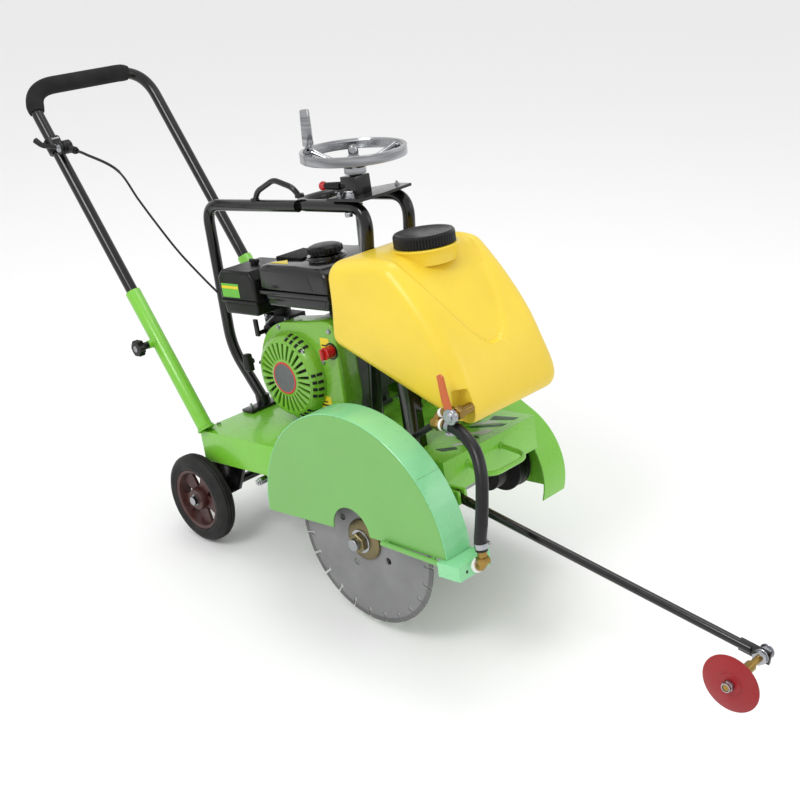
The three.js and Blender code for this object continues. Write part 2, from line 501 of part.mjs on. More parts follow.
function makeWaterTank() {
  const { right, left, cap } = TANK;
  const side = new THREE.Shape();
  side.moveTo(-108, 352);
  side.lineTo(-96, 490);
  side.quadraticCurveTo(-92, 514, -66, 518);
  side.quadraticCurveTo(60, 534, 84, 514);
  side.quadraticCurveTo(160, 440, 204, 350);
  side.quadraticCurveTo(240, 262, 232, 244);
  side.quadraticCurveTo(228, 228, 208, 230);
  side.lineTo(126, 258);
  const recess = box(VALVE.x - 24, VALVE.x + 40, right - 1, VALVE.seat, 200, VALVE.z + 36);
  const crown = (r, z0, z1) => rod(vec(cap.x, cap.y, z0), vec(cap.x, cap.y, z1), r, 28);
  const channels = [CAGE.near, CAGE.far].map((y) => rod(hoopFoot(y), hoopTop(y), TUBE_R + 3, 12));
  const body = join(plate(side, right, left), crown(cap.r + 8, 500, 527), crown(cap.r - 11, 520, cap.z1 - 8));
  add("water_tank", cut(body, recess, ...channels), COLORS.yellow, 0.35);
  const ribs = Array.from({ length: 48 }, (_, i) => {
    const angle = i / 48 * Math.PI * 2;
    const r = i % 2 ? cap.r - 3 : cap.r;
    return [cap.x + r * Math.cos(angle), cap.y + r * Math.sin(angle)];
  });
  add("tank_cap", cut(slab(ribs, cap.z0, cap.z1), crown(cap.r - 8, 520, cap.z1 - 4)), COLORS.black, 0.45);
  const post = (y) => box(12, 40, y, y + 30, DECK.top + GAP, 286);
  add("tank_stand", join(post(130), post(290), box(6, 46, 120, 330, 285, 289.4)), COLORS.black, 0.4);
  const { x, z, branch } = VALVE;
  const tee = vec(branch.x, branch.y, branch.z);
  const elbow = vec(tee.x + 7, tee.y + 10, z - 3);
  const valve = join(rodY(x, z, 57, VALVE.seat - GAP, VALVE.r, 14), rod(vec(x, elbow.y, z), elbow, 8, 14),
    rod(elbow, tee, 8, 14), rod(tee.clone().setX(tee.x - 3), tee.clone().setX(tee.x + 25), 11, 14));
  add("ball_valve", valve, COLORS.zinc, 0.3, 0.9);
  const strap = [[x - 8, z], [x + 8, z], [x - 7, z + 74], [x - 19, z + 74]];
  add("valve_lever", join(rodY(x, z, 46, 56.6, 11, 16), plate(strap, 47, 51)), COLORS.orange, 0.4);
  const hose = [vec(197.8, 62, 240), vec(222, 60, 238), vec(252, 52, 228), vec(280, 42, 208),
    vec(299, 28, 176),
    vec(307, 14, 138), vec(307, 4, 96), vec(303, 0, 64), vec(303, 0, 44.4)];
  add("water_hose", smoothTube(hose, 11.5, 14, 10), COLORS.black, 0.35);
}

// ---- guide pointer ------------------------------------------------------------------------
function makeGuide() {
  const { x, y, z, length, drop, discR, discY } = GUIDE;
  const along = vec(Math.cos(deg(drop)), 0, -Math.sin(deg(drop)));
  const at = (d, side = y) => vec(x, side, z).addScaledVector(along, d);
  const eye = rodY(x, z, y - 4.4, y + 4.4, 12, 20);
  const tongue = rod(at(0), at(36), 4.4, 12);
  const end = at(length - 14);
  const tab = box(end.x - 16, end.x + 30, y - 3, y + 3, end.z - 16, end.z + 12);
  const arm = join(rod(at(32), at(length - 18), GUIDE.r, 14), eye, tongue, tab);
  const tip = at(length);
  const bolt = rodY(tip.x, tip.z, discY - 14, y + 22, 6, 16);
  add("guide_arm", cut(arm, rodY(x, z, y - 20, y + 20, 5.5, 16),
    rodY(tip.x, tip.z, y - 20, y + 20, 6.4, 16)), COLORS.black, 0.25);
  add("guide_bolt", join(bolt, rodY(tip.x, tip.z, 8, 60, 9, 16), rodY(tip.x, tip.z, y + 4, y + 14, 11, 6)),
    COLORS.zinc, 0.3, 0.9);
  add("guide_disc", turned([[6.5, discY - 2], [20, discY - 4], [20, discY - 2], [discR, discY - 1],
    [discR, discY + 1],
    [20, discY + 2], [20, discY + 5], [6.5, discY + 5]], tip.x, tip.z, 24), COLORS.red, 0.35);
}

function makeThrottleCable() {
  const start = throttlePoint(98.6);
  const cable = [start, throttlePoint(130), vec(-640, 30, 706), vec(-604, 44, 640), vec(-580, 60, 585),
    vec(-556, 84, 520), vec(-530, 110, 462), vec(-505, 128, 420)];
  add("throttle_cable", smoothTube(cable, 3, 22, 8), COLORS.black, 0.5);
}

makeDeck();
makeHandle();
makeThrottle();
makeCage();
makeDepthControl();
makeFrontArm();
makeRearAxle();
makeEngine();
makeDrive();
makeBlade();
makeGuard();
makeWaterTank();
makeGuide();
makeThrottleCable();

chassis.rotation.y = -deg(NOSE_UP);
saw.updateMatrixWorld(true);
const bounds = new THREE.Box3().setFromObject(saw, true);
chassis.position.set(-(bounds.min.x + bounds.max.x) / 2, -(bounds.min.y + bounds.max.y) / 2, -bounds.min.z);

export default saw;
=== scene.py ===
import json
import math

import bmesh
import bpy
from mathutils import Matrix, Vector


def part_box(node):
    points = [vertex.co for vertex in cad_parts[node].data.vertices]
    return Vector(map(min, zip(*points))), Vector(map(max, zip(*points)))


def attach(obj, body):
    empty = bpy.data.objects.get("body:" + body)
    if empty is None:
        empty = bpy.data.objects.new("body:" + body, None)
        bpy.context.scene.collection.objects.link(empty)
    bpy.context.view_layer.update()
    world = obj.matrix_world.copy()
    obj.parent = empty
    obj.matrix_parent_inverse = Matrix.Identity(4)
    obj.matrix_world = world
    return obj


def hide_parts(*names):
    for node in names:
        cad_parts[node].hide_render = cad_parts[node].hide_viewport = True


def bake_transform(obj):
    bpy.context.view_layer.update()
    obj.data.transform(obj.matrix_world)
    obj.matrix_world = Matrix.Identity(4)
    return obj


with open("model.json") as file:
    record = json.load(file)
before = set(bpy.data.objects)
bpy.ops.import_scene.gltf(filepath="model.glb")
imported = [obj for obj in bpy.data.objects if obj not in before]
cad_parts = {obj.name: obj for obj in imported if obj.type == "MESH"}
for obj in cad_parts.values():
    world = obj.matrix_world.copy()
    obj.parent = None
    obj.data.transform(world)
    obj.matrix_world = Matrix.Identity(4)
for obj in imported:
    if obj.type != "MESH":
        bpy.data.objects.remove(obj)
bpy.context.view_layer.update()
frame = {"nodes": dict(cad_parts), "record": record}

BODIES = {node: body for body, nodes in frame["record"]["behaviour"]["bodies"].items() for node in nodes}

# ---- frame ---------------------------------------------------------------------------------
# Everything below is in chassis millimetres: zero at the blade's centre, x forwards, z off the deck.
NOSE_UP = 9.5
DECK_TOP = 140
X, Y, Z = Vector((1, 0, 0)), Vector((0, 1, 0)), Vector((0, 0, 1))
ORIGIN = Vector((0, 0, 0))
blade_low, blade_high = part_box("blade")
CHASSIS = (Matrix.Translation((blade_low + blade_high) / 2)
           @ Matrix.Rotation(-math.radians(NOSE_UP), 4, "Y") @ Matrix.Scale(0.001, 4))


def at(x, y, z):
    return Vector((x, y, z))


def places(*points):
    return [Vector(p) for p in points]


def spoke(angle):
    """Unit vector in the side plane, so many radians up from +X."""
    return Vector((math.cos(angle), 0, math.sin(angle)))


def lean(degrees):
    return spoke(math.radians(degrees))


def square_to(out):
    return Vector((-out.z, 0, out.x))


def turn(count):
    return [2 * math.pi * i / count for i in range(count)]


HANDLE = lean(120.5)
SCREW = lean(85.5)
THROTTLE = Vector((0.974, 0, -0.225)).normalized()
HANDLE_SIDES = (("right", 20, -1), ("left", 335, 1))
CLAMP_AT = 733


def handle(y, along):
    return at(-488, y, DECK_TOP) + HANDLE * along


def throttle(along, y=20):
    p = handle(20, CLAMP_AT) + THROTTLE * along
    return at(p.x, y, p.z)


def screw(along):
    return at(-174, 230, -6) + SCREW * along


# ---- camera --------------------------------------------------------------------------------
CAMERA_PLACE = at(1684, -1418, 989)
CAMERA_ANGLES = (47.17, 18.2, -8.68)
FOCAL_LENGTH = 56.25


def make_camera():
    azimuth, elevation, roll = (math.radians(a) for a in CAMERA_ANGLES)
    look = Vector((-math.sin(azimuth) * math.cos(elevation), math.cos(azimuth) * math.cos(elevation),
                   -math.sin(elevation)))
    right = look.cross(Z).normalized()
    up = right.cross(look)
    right, up = (right * math.cos(roll) + up * math.sin(roll), up * math.cos(roll) - right * math.sin(roll))
    chassis_turn = CHASSIS.to_3x3().normalized()
    axes = Matrix([chassis_turn @ right, chassis_turn @ up, chassis_turn @ -look]).transposed().to_4x4()
    data = bpy.data.cameras.new("camera")
    data.sensor_width = 36
    data.lens = FOCAL_LENGTH
    data.dof.use_dof = False
    camera = bpy.data.objects.new("camera", data)
    camera.matrix_world = Matrix.Translation(CHASSIS @ CAMERA_PLACE) @ axes
    bpy.context.scene.collection.objects.link(camera)
    bpy.context.scene.camera = camera


# ---- materials -----------------------------------------------------------------------------
DUST = (176, 170, 158)


def rgb(color):
    return [(c / 255 / 12.92 if c < 10 else ((c / 255 + 0.055) / 1.055) ** 2.4) for c in color] + [1]


def node(tree, kind, **values):
    made = tree.nodes.new(kind)
    for key, value in values.items():
        if key in made.inputs:
            made.inputs[key].default_value = value
        else:
            setattr(made, key, value)
    return made


def noise(tree, vector, scale, detail=4, stretch=None):
    if stretch:
        mapping = node(tree, "ShaderNodeMapping", Scale=stretch)
        tree.links.new(vector, mapping.inputs["Vector"])
        vector = mapping.outputs["Vector"]
    made = node(tree, "ShaderNodeTexNoise", Scale=scale, Detail=detail)
    tree.links.new(vector, made.inputs["Vector"])
    return made.outputs["Fac"]


def spread(tree, value, low, high, start=0.3, end=0.7):
    made = node(tree, "ShaderNodeMapRange")
    tree.links.new(value, made.inputs["Value"])
    for name, number in (("From Min", start), ("From Max", end), ("To Min", low), ("To Max", high)):
        made.inputs[name].default_value = number
    return made.outputs["Result"]


def mixed(tree, factor, a, b):
    made = node(tree, "ShaderNodeMix", data_type="RGBA")
    tree.links.new(factor, made.inputs["Factor"])
    for socket, value in (("A", a), ("B", b)):
        target = [s for s in made.inputs if s.name == socket and s.type == "RGBA"][0]
        if isinstance(value, list):
            target.default_value = value
        else:
            tree.links.new(value, target)
    return [s for s in made.outputs if s.type == "RGBA"][0]


def chipped_edges(tree, place):
    """One on outer edges where a coarse noise lets the paint be gone, and zero elsewhere."""
    edges = node(tree, "ShaderNodeBevel", samples=4, Radius=0.0022)
    geometry = node(tree, "ShaderNodeNewGeometry")
    dot = node(tree, "ShaderNodeVectorMath", operation="DOT_PRODUCT")
    tree.links.new(edges.outputs["Normal"], dot.inputs[0])
    tree.links.new(geometry.outputs["Normal"], dot.inputs[1])
    edge = spread(tree, dot.outputs["Value"], 1, 0, 0.86, 0.985)
    chips = spread(tree, noise(tree, place, 120, 6), 0, 1, 0.5, 0.66)
    both = node(tree, "ShaderNodeMath", operation="MULTIPLY")
    tree.links.new(edge, both.inputs[0])
    tree.links.new(chips, both.inputs[1])
    return both.outputs["Value"]


def surface(name, color, rough, metal=0.0, grain=0.05, fine=900, tone=0.12, coat=0.0, wear=None,
            streak=None, dust=0.0, uneven=0.1, shine=0.5):
    """A finish with uneven tone and roughness, a fine grain, and worn edges or dust where asked."""
    material = bpy.data.materials.new(name)
    material.use_nodes = True
    tree = material.node_tree
    shader = tree.nodes["Principled BSDF"]
    place = node(tree, "ShaderNodeTexCoord").outputs["Object"]
    for socket, value in (("Metallic", metal), ("Coat Weight", coat), ("Specular IOR Level", shine),
                          ("Coat Roughness", 0.08)):
        shader.inputs[socket].default_value = value
    patches = noise(tree, place, 9, 3, streak)
    dark, light = ([min(1, c * share) for c in rgb(color)[:3]] + [1] for share in (1 - tone, 1 + tone))
    base = mixed(tree, spread(tree, patches, 0, 1), dark, light)
    if wear:
        base = mixed(tree, chipped_edges(tree, place), base, rgb(wear))
    if dust:
        film = spread(tree, noise(tree, place, 30, 8), 0, dust, 0.4, 0.8)
        base = mixed(tree, film, base, rgb(DUST))
    tree.links.new(base, shader.inputs["Base Color"])
    rough_noise = noise(tree, place, 60, 6, streak)
    roughness = spread(tree, rough_noise, max(0.02, rough - uneven), min(1, rough + uneven))
    tree.links.new(roughness, shader.inputs["Roughness"])
    bump = node(tree, "ShaderNodeBump", Strength=grain, Distance=0.001)
    tree.links.new(noise(tree, place, fine, 3, streak), bump.inputs["Height"])
    tree.links.new(bump.outputs["Normal"], shader.inputs["Normal"])
    return material


LIME = surface("lime_paint", (116, 190, 50), 0.3, coat=0.35, grain=0.03, fine=500, tone=0.05,
               wear=(84, 120, 50), dust=0.04, uneven=0.05)
COVER = surface("engine_green", (112, 172, 44), 0.26, coat=0.45, grain=0.03, fine=500, tone=0.05,
                dust=0.03, uneven=0.05)
GREEN = surface("guard_green", (108, 172, 82), 0.34, coat=0.25, grain=0.025, fine=420, tone=0.03,
                wear=(84, 130, 74), dust=0.03, uneven=0.04)
# A lighter copy of the guard's green paint: painted highlight for the light on the band, the guard arms and
# the water block.
GUARD_PAINT_HIGHLIGHT = surface("guard_paint_painted_highlight", (132, 208, 150), 0.3, coat=0.35, grain=0.03, fine=420, tone=0.04,
               wear=(110, 160, 120), dust=0.03, uneven=0.05)
BLACK = surface("black_paint", (11, 11, 12), 0.2, coat=0.25, grain=0.03, fine=500, tone=0.15,
                wear=(56, 56, 58), dust=0.01, uneven=0.05, shine=0.35)
PLASTIC = surface("black_plastic", (12, 12, 13), 0.34, grain=0.1, fine=1600, dust=0.01, uneven=0.06,
                  shine=0.3)
GLOSS = surface("gloss_plastic", (7, 7, 8), 0.16, coat=0.3, grain=0.03, dust=0.01, uneven=0.05, shine=0.35)
FOAM = surface("foam", (24, 24, 26), 0.85, shine=0.25, grain=0.55, fine=1400, tone=0.15, dust=0.03)
RUBBER = surface("rubber", (12, 12, 13), 0.5, grain=0.2, fine=1100, tone=0.15, dust=0.02, shine=0.3)
HOSE = surface("hose_rubber", (17, 17, 19), 0.32, grain=0.12, fine=1300, tone=0.15, dust=0.02, shine=0.35)
TYRE = surface("tyre", (18, 18, 19), 0.6, grain=0.3, dust=0.04, shine=0.3)
YELLOW = surface("tank_plastic", (232, 202, 58), 0.34, grain=0.08, fine=700, tone=0.04, dust=0.02,
                 uneven=0.05)
STEEL = surface("turned_steel", (150, 152, 154), 0.34, 1.0, grain=0.12, fine=700)
DISC = surface("blade_steel", (128, 128, 129), 0.5, 0.35, grain=0.14, fine=500, tone=0.16, dust=0.05)
SEGMENT = surface("diamond_segment", (104, 104, 104), 0.65, 0.2, grain=0.7, fine=1500, tone=0.2)
CHROME = surface("chrome", (158, 159, 162), 0.14, 1.0, fine=300, tone=0.4, uneven=0.06, streak=(1, 1, 14))
ZINC = surface("olive_zinc", (122, 112, 82), 0.44, 0.9, grain=0.12, tone=0.3)
BRIGHT = surface("bright_zinc", (168, 170, 174), 0.28, 1.0, grain=0.1)
BRASS = surface("brass", (150, 122, 66), 0.34, 1.0, grain=0.15, tone=0.25)
CAST = surface("cast_iron", (34, 34, 36), 0.5, 0.4, grain=0.4, fine=700, tone=0.2, dust=0.05)
ALLOY = surface("cast_alloy", (112, 114, 117), 0.5, 0.7, grain=0.4, fine=800, tone=0.18, dust=0.05)
RIM = surface("rim_paint", (62, 24, 22), 0.45, grain=0.25, fine=600, tone=0.15, wear=(76, 60, 54), dust=0.1)
RED = surface("red_plastic", (190, 26, 24), 0.25, coat=0.3, grain=0.04, tone=0.08)
RED_PAINT = surface("red_paint", (146, 12, 24), 0.36, coat=0.1, shine=0.35, fine=500, tone=0.08,
                    wear=(110, 70, 66), dust=0.04)
ORANGE = surface("orange_vinyl", (196, 96, 44), 0.42, grain=0.08, tone=0.1)
TAPE = surface("thread_tape", (232, 232, 228), 0.6, grain=0.5, fine=1500, tone=0.05)
# Near-black: painted shade in the vent slots, behind the recoil vanes and in the water block's bore, and the
# print on the sticker bars.
SHADE_AND_PRINT = surface("painted_shade_and_print", (12, 14, 11), 0.8, grain=0.3, tone=0.3)
STICKER = surface("yellow_sticker", (230, 206, 30), 0.35, grain=0.03, tone=0.04)
LABEL = surface("green_label", (104, 184, 60), 0.35, grain=0.03, tone=0.05)
PALE = surface("pale_print", (190, 200, 192), 0.4, grain=0.03, tone=0.05)
SLATE = surface("slate_print", (38, 74, 46), 0.4, grain=0.03, tone=0.15)
BADGE = surface("badge_grey", (96, 98, 100), 0.3, 0.5, grain=0.08, tone=0.2)


# ---- shape tools ---------------------------------------------------------------------------
# The tools draw into one sketch, and take() or piece() ends it as an object and empties it.
sketch = bmesh.new()


def skin(rings, closed=False, capped=True, into=sketch):
    rows = [[into.verts.new(p) for p in ring] for ring in rings]
    pairs = list(zip(rows, rows[1:])) + ([(rows[-1], rows[0])] if closed else [])
    for a, b in pairs:
        for i in range(len(a)):
            j = (i + 1) % len(a)
            into.faces.new((a[i], a[j], b[j], b[i]))
    if capped and not closed:
        into.faces.new(rows[0][::-1])
        into.faces.new(rows[-1])


def basis(axis):
    axis = axis.normalized()
    side = (X if abs(axis.x) < 0.8 else Z).cross(axis).normalized()
    return side, axis.cross(side)


def ring(centre, side, other, r, sides):
    return [centre + (side * math.cos(a) + other * math.sin(a)) * r for a in turn(sides)]


def lathe(profile, origin, axis=Y, sides=48, closed=True):
    """Turns (radius, height) pairs about an axis. Without closed, both ends are capped instead."""
    side, other = basis(axis)
    axis = axis.normalized()
    rings = [ring(origin + axis * height, side, other, max(r, 0.01), sides) for r, height in profile]
    skin(rings, closed)


def mirrored(half):
    return half + [(r, -h) for r, h in reversed(half)]


def rod(a, b, r, sides=32, end_r=None, soft=0.8):
    end_r = end_r or r
    h = (b - a).length
    soft = min(soft, h / 3, r / 2, end_r / 2)
    lathe([(r - soft, 0), (r, soft), (end_r, h - soft), (end_r - soft, h)], a, b - a, sides, closed=False)


def rounded(points, bend, steps=12):
    path = [points[0]]
    for before, corner, after in zip(points, points[1:], points[2:]):
        start = corner + (before - corner).normalized() * bend
        end = corner + (after - corner).normalized() * bend
        for t in (i / steps for i in range(steps + 1)):
            path.append(start * (1 - t) ** 2 + corner * 2 * t * (1 - t) + end * t * t)
    return path + [points[-1]]


def smooth(points, steps=8):
    path = []
    ends = [points[0] * 2 - points[1]] + points + [points[-1] * 2 - points[-2]]
    for p0, p1, p2, p3 in zip(ends, ends[1:], ends[2:], ends[3:]):
        for t in (i / steps for i in range(steps)):
            path.append(((p1 * 2) + (p2 - p0) * t + (p0 * 2 - p1 * 5 + p2 * 4 - p3) * t * t
                         + (p1 * 3 - p0 - p2 * 3 + p3) * t ** 3) / 2)
    return path + [points[-1]]


def along_path(path, radius, sides=24):
    """Round section carried along a path; radius is a number or a function of the share of the way along."""
    tangent = (path[1] - path[0]).normalized()
    side, _ = basis(tangent)
    rings = []
    for i, p in enumerate(path):
        new = (path[min(i + 1, len(path) - 1)] - path[max(i - 1, 0)]).normalized()
        side = (tangent.rotation_difference(new) @ side).normalized()
        tangent = new
        r = radius(i / (len(path) - 1)) if callable(radius) else radius
        rings.append(ring(p, side, tangent.cross(side), r, sides))
    skin(rings)


def ring_of(origin, axis, big, small, sides=48, steps=12, squash=1.0):
    profile = [(big + small * math.cos(a), small * squash * math.sin(a)) for a in turn(steps)]
    lathe(profile, origin, axis, sides)


def bevel(bm, edges, size, segments):
    bmesh.ops.bevel(bm, geom=edges, offset=size, segments=segments, profile=0.6, affect="EDGES",
                    clamp_overlap=True)


def merge(part):
    mesh = bpy.data.meshes.new("part")
    part.to_mesh(mesh)
    part.free()
    sketch.from_mesh(mesh)
    bpy.data.meshes.remove(mesh)


def prism(outline, low, high, soft=0.0, segments=3, flat=False):
    """A side-plane outline made thick along y, or one seen from above made thick along z when flat is set."""
    part = bmesh.new()
    skin([[Vector((u, v, w) if flat else (u, w, v)) for u, v in outline] for w in (low, high)], into=part)
    if soft:
        caps = sorted(part.faces, key=lambda f: -len(f.verts))[:2] if len(outline) != 4 else list(part.faces)
        bevel(part, list({e for f in caps for e in f.edges}), soft, segments)
    merge(part)


def rectangle(u, v, width, height):
    return [(u, v), (u + width, v), (u + width, v + height), (u, v + height)]


def block(x0, x1, y0, y1, z0, z1, soft=1.5):
    prism(rectangle(x0, y0, x1 - x0, y1 - y0), z0, z1, soft, 2, flat=True)


def bar(a, b, half_height, half_width):
    """A square-edged bar between two points of the side plane."""
    up = Y.cross((b - a).normalized()).normalized()
    corners = ((-1, -1), (1, -1), (1, 1), (-1, 1))
    part = bmesh.new()
    skin([[p + up * s * half_height + Y * t * half_width for s, t in corners] for p in (a, b)], into=part)
    bevel(part, list(part.edges), 1, 2)
    merge(part)


def hexagon(p, axis, across, height):
    side, other = basis(axis)
    axis = axis.normalized()
    r = across / math.sqrt(3)
    levels = ((0.93, 0), (1, height * 0.12), (1, height * 0.82), (0.9, height))
    skin([ring(p + axis * h, side, other, r * scale, 6) for scale, h in levels])


def bolt(p, axis, size=6, stud=0.0):
    """Hexagon head on a washer, with a short stud when asked."""
    axis = axis.normalized()
    rod(p, p + axis * size * 0.2, size * 1.1, 24, soft=0.3)
    hexagon(p + axis * size * 0.2, axis, size * 1.65, size * 0.65)
    if stud:
        rod(p + axis * size * 0.8, p + axis * (size * 0.8 + stud), size * 0.5, 16)


def circle(x, z, r, start=0, end=360, steps=64):
    angles = [math.radians(start + (end - start) * i / steps) for i in range(steps + (end - start < 360))]
    return [(x + r * math.cos(a), z + r * math.sin(a)) for a in angles]


def curve2(start, middle, end, steps):
    """A quadratic curve's points, without the first."""
    return [tuple((1 - t) ** 2 * a + 2 * t * (1 - t) * b + t * t * c for a, b, c in zip(start, middle, end))
            for t in (i / steps for i in range(1, steps + 1))]


def straight(start, end, steps):
    return [tuple(Vector(start).lerp(Vector(end), i / steps)) for i in range(1, steps + 1)]


def take(name):
    """Ends the sketch as an object in the row frame."""
    bmesh.ops.recalc_face_normals(sketch, faces=sketch.faces)
    sketch.transform(CHASSIS)
    mesh = bpy.data.meshes.new(name)
    sketch.to_mesh(mesh)
    sketch.clear()
    made = bpy.data.objects.new(name, mesh)
    bpy.context.scene.collection.objects.link(made)
    return made


def cut_away(base, cutters):
    for cutter in cutters:
        modifier = base.modifiers.new("cut", "BOOLEAN")
        modifier.operation = "DIFFERENCE"
        modifier.solver = "EXACT"
        modifier.object = cutter
    bpy.context.view_layer.update()
    mesh = bpy.data.meshes.new_from_object(base.evaluated_get(bpy.context.evaluated_depsgraph_get()))
    base.modifiers.clear()
    base.data = mesh
    for cutter in cutters:
        bpy.data.objects.remove(cutter)


def piece(name, material, stands_for=None, body="chassis", angle=35, cutters=()):
    """Ends the sketch as a visual piece, smooth except at real edges. A piece that stands for a CAD node
    takes that node's body, and that node is hidden."""
    made = take(name)
    if cutters:
        cut_away(made, cutters)
    made.data.materials.clear()
    made.data.materials.append(material)
    made.data.shade_smooth()
    made.data.set_sharp_from_angle(angle=math.radians(angle))
    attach(made, BODIES.get(stands_for, body))
    if stands_for:
        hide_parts(stands_for)
    return made


def patch(name, material):
    piece(name, material, angle=60)


def from_cad(node_name, material, soft=1.0):
    """A fresh copy of a plain CAD node with its hard edges rounded off."""
    sketch.from_mesh(frame["nodes"][node_name].data)
    sketch.transform(CHASSIS.inverted())
    bmesh.ops.remove_doubles(sketch, verts=sketch.verts, dist=0.02)
    bmesh.ops.dissolve_limit(sketch, angle_limit=math.radians(1), verts=sketch.verts, edges=sketch.edges)
    hard = [e for e in sketch.edges if len(e.link_faces) == 2 and e.calc_face_angle(0) > math.radians(25)]
    bevel(sketch, hard, soft, 2)
    piece(f"{node_name}_shape", material, node_name)


# ---- cords ---------------------------------------------------------------------------------
HOSE_ROUTE = places((197.8, 62, 240), (222, 60, 238), (252, 52, 228), (280, 42, 208), (299, 28, 176),
                    (307, 14, 138), (307, 4, 96), (303, 0, 64), (303, 0, 44.6))
CABLE_ROUTE = places(throttle(98.6), throttle(130), (-640, 30, 706), (-604, 44, 640), (-580, 60, 585),
                     (-556, 84, 520), (-530, 110, 462), (-505, 128, 420))
HOSE_R = 11.5


def hose_clip(p, axis, screw_side):
    """Worm-drive clip: a thin band with its screw housing."""
    r = HOSE_R + 0.2
    lathe([(r, -5), (r + 0.9, -5), (r + 0.9, 5), (r, 5)], p, axis, 40)
    out = screw_side.normalized()
    across = axis.cross(out).normalized()
    rod(p + out * (r + 3) - across * 7, p + out * (r + 3) + across * 7, 3.4, 16)
    hexagon(p + out * (r + 3) + across * 7, across, 6, 3)


def make_hose():
    path = smooth(HOSE_ROUTE, 14)
    along_path(path, HOSE_R, 32)
    piece("water_hose_tube", HOSE, "water_hose")
    hose_clip(at(207, 61.4, 239.6), at(25, -1.5, -2).normalized(), at(0, -0.4, -1))
    hose_clip(at(303, 0, 55), Z, at(0.3, 1, 0))
    piece("hose_clips", BRIGHT)


def make_cable():
    path = smooth(CABLE_ROUTE, 14)
    along_path(path, lambda t: 3.0 if t < 0.3 else 2.4, 12)
    cable = take("throttle_sheath")
    cable.data.shade_smooth()
    cable.data.materials.append(PLASTIC)
    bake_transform(cable)
    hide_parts("throttle_cable")


# ---- handle --------------------------------------------------------------------------------
def make_socket(side, y, out):
    lathe([(13.7, 40), (17, 40), (17, 348.5), (16, 350), (13.7, 350)], handle(y, 0), HANDLE)
    rod(handle(y, 8), handle(y, 41), 17, 48)
    stud = handle(y, 225)
    rod(stud + Y * out * 14, stud + Y * out * 30, 9)
    ring_of(stud + Y * out * 16, Y, 9, 2.2)
    for k in range(3):
        ring_of(handle(y, 6 + 2.5 * k), HANDLE, 17.2, 3 - 0.8 * k, squash=0.8)
    piece(f"socket_{side}", LIME, f"handle_socket_{side}")


def make_star_knob(side, y, out):
    start = handle(y, 225) + Y * out * 30.6
    outline = []
    for a in turn(72):
        r = 16.5 + 2.6 * math.cos(6 * a)
        outline.append((start.x + r * math.cos(a), start.z + r * math.sin(a)))
    prism(outline, *sorted((start.y + out * 16, start.y + out * 31)), 3, 4)
    rod(start, start + Y * out * 18, 8)
    piece(f"star_knob_{side}_shape", PLASTIC, f"star_knob_{side}")
    lathe([(0, 0), (7, 0), (7, 1.4), (4, 3.2), (0, 3.6)], start + Y * out * 30.6, Y * out, 32, closed=False)
    piece(f"star_knob_stud_{side}", CHROME, body=f"star_knob_{side}")


def make_handlebar():
    path = rounded([handle(20, 150), handle(20, 868), handle(335, 868), handle(335, 150)], 75, 18)
    along_path(path, 13, 36)
    piece("handle_tube", BLACK, "handlebar")
    dense = []
    for a, b in zip(path, path[1:]):
        count = max(1, int((b - a).length / 4))
        dense += [a.lerp(b, i / count) for i in range(count)]
    middle = handle(135, 878)
    held = [p for p in dense if abs((p - middle).dot(HANDLE)) < 70 and abs(p.y - middle.y) < 155]
    total = len(held) - 1
    along_path(held, lambda t: 19.5 - 2.6 * max(0, 1 - min(t, 1 - t) * total / 1.6), 36)
    piece("foam_sleeve", FOAM, "foam_grip")


def make_throttle():
    seat = handle(20, CLAMP_AT)
    lathe([(13.3, -27), (18, -27), (19, -26), (19, 5), (18, 6), (13.3, 6)], seat, HANDLE)
    rod(throttle(28), throttle(54), 8, 24)
    rod(throttle(54, 10), throttle(54, 30), 15, 48, soft=1.5)
    rod(throttle(54), throttle(92), 8, 24)
    rod(throttle(90), throttle(98), 6, 24)
    piece("throttle_body", PLASTIC, "throttle_clamp")
    for along in (-20, -2):
        p = seat + HANDLE * along + at(0.86, 0, 0.5) * 18
        rod(p - Y * 8, p + Y * 8, 2.6, 16)
        hexagon(p - Y * 10.5, Y, 7, 3)
    piece("throttle_screws", BRIGHT, body="handlebar")
    rod(throttle(54, 2), throttle(54, 9.6), 13, 48, soft=1.2)
    tip = throttle(-8, -16) + Z * 8
    along_path(smooth([throttle(54, 5), throttle(30, -3), throttle(10, -11), tip]), lambda t: 4 + 2.6 * t, 20)
    piece("throttle_paddle", PLASTIC, "throttle_lever")
    lathe([(0, 0), (9, 0), (8, 2), (0, 3)], throttle(54, 1.8), -Y, 40, closed=False)
    piece("throttle_pivot_cap", CHROME, body="throttle_lever")


# ---- cage ----------------------------------------------------------------------------------
CAGE_TUBE_R = 12.5
CAGE_REAR_Y = 190
HOOP_SIDES = (198, 315)


def make_rear_leg():
    y = CAGE_REAR_Y
    leg = places((-498, y, 158), (-578, y, 270), (-572, y, 597), (-262, y, 599))
    along_path(rounded(leg, 45, 14), CAGE_TUBE_R, 32)
    block(-511, -475, 136, 244, 140.4, 148)
    rod(at(-498, y, 146), at(-500, y, 166), 16)
    loop = places((-398, y, 607), (-385, y, 628), (-326, y, 652), (-275, 194, 636), (-262, 198, 616))
    along_path(rounded(loop, 12, 8), 6, 20)
    for p in (loop[0], loop[-1]):
        lathe([(6, -4), (9.5, -4), (10, 0), (9, 4), (6, 4)], p + Z * 3, Z, 24)
    piece("rear_leg_tube", BLACK, "cage_rear_leg")


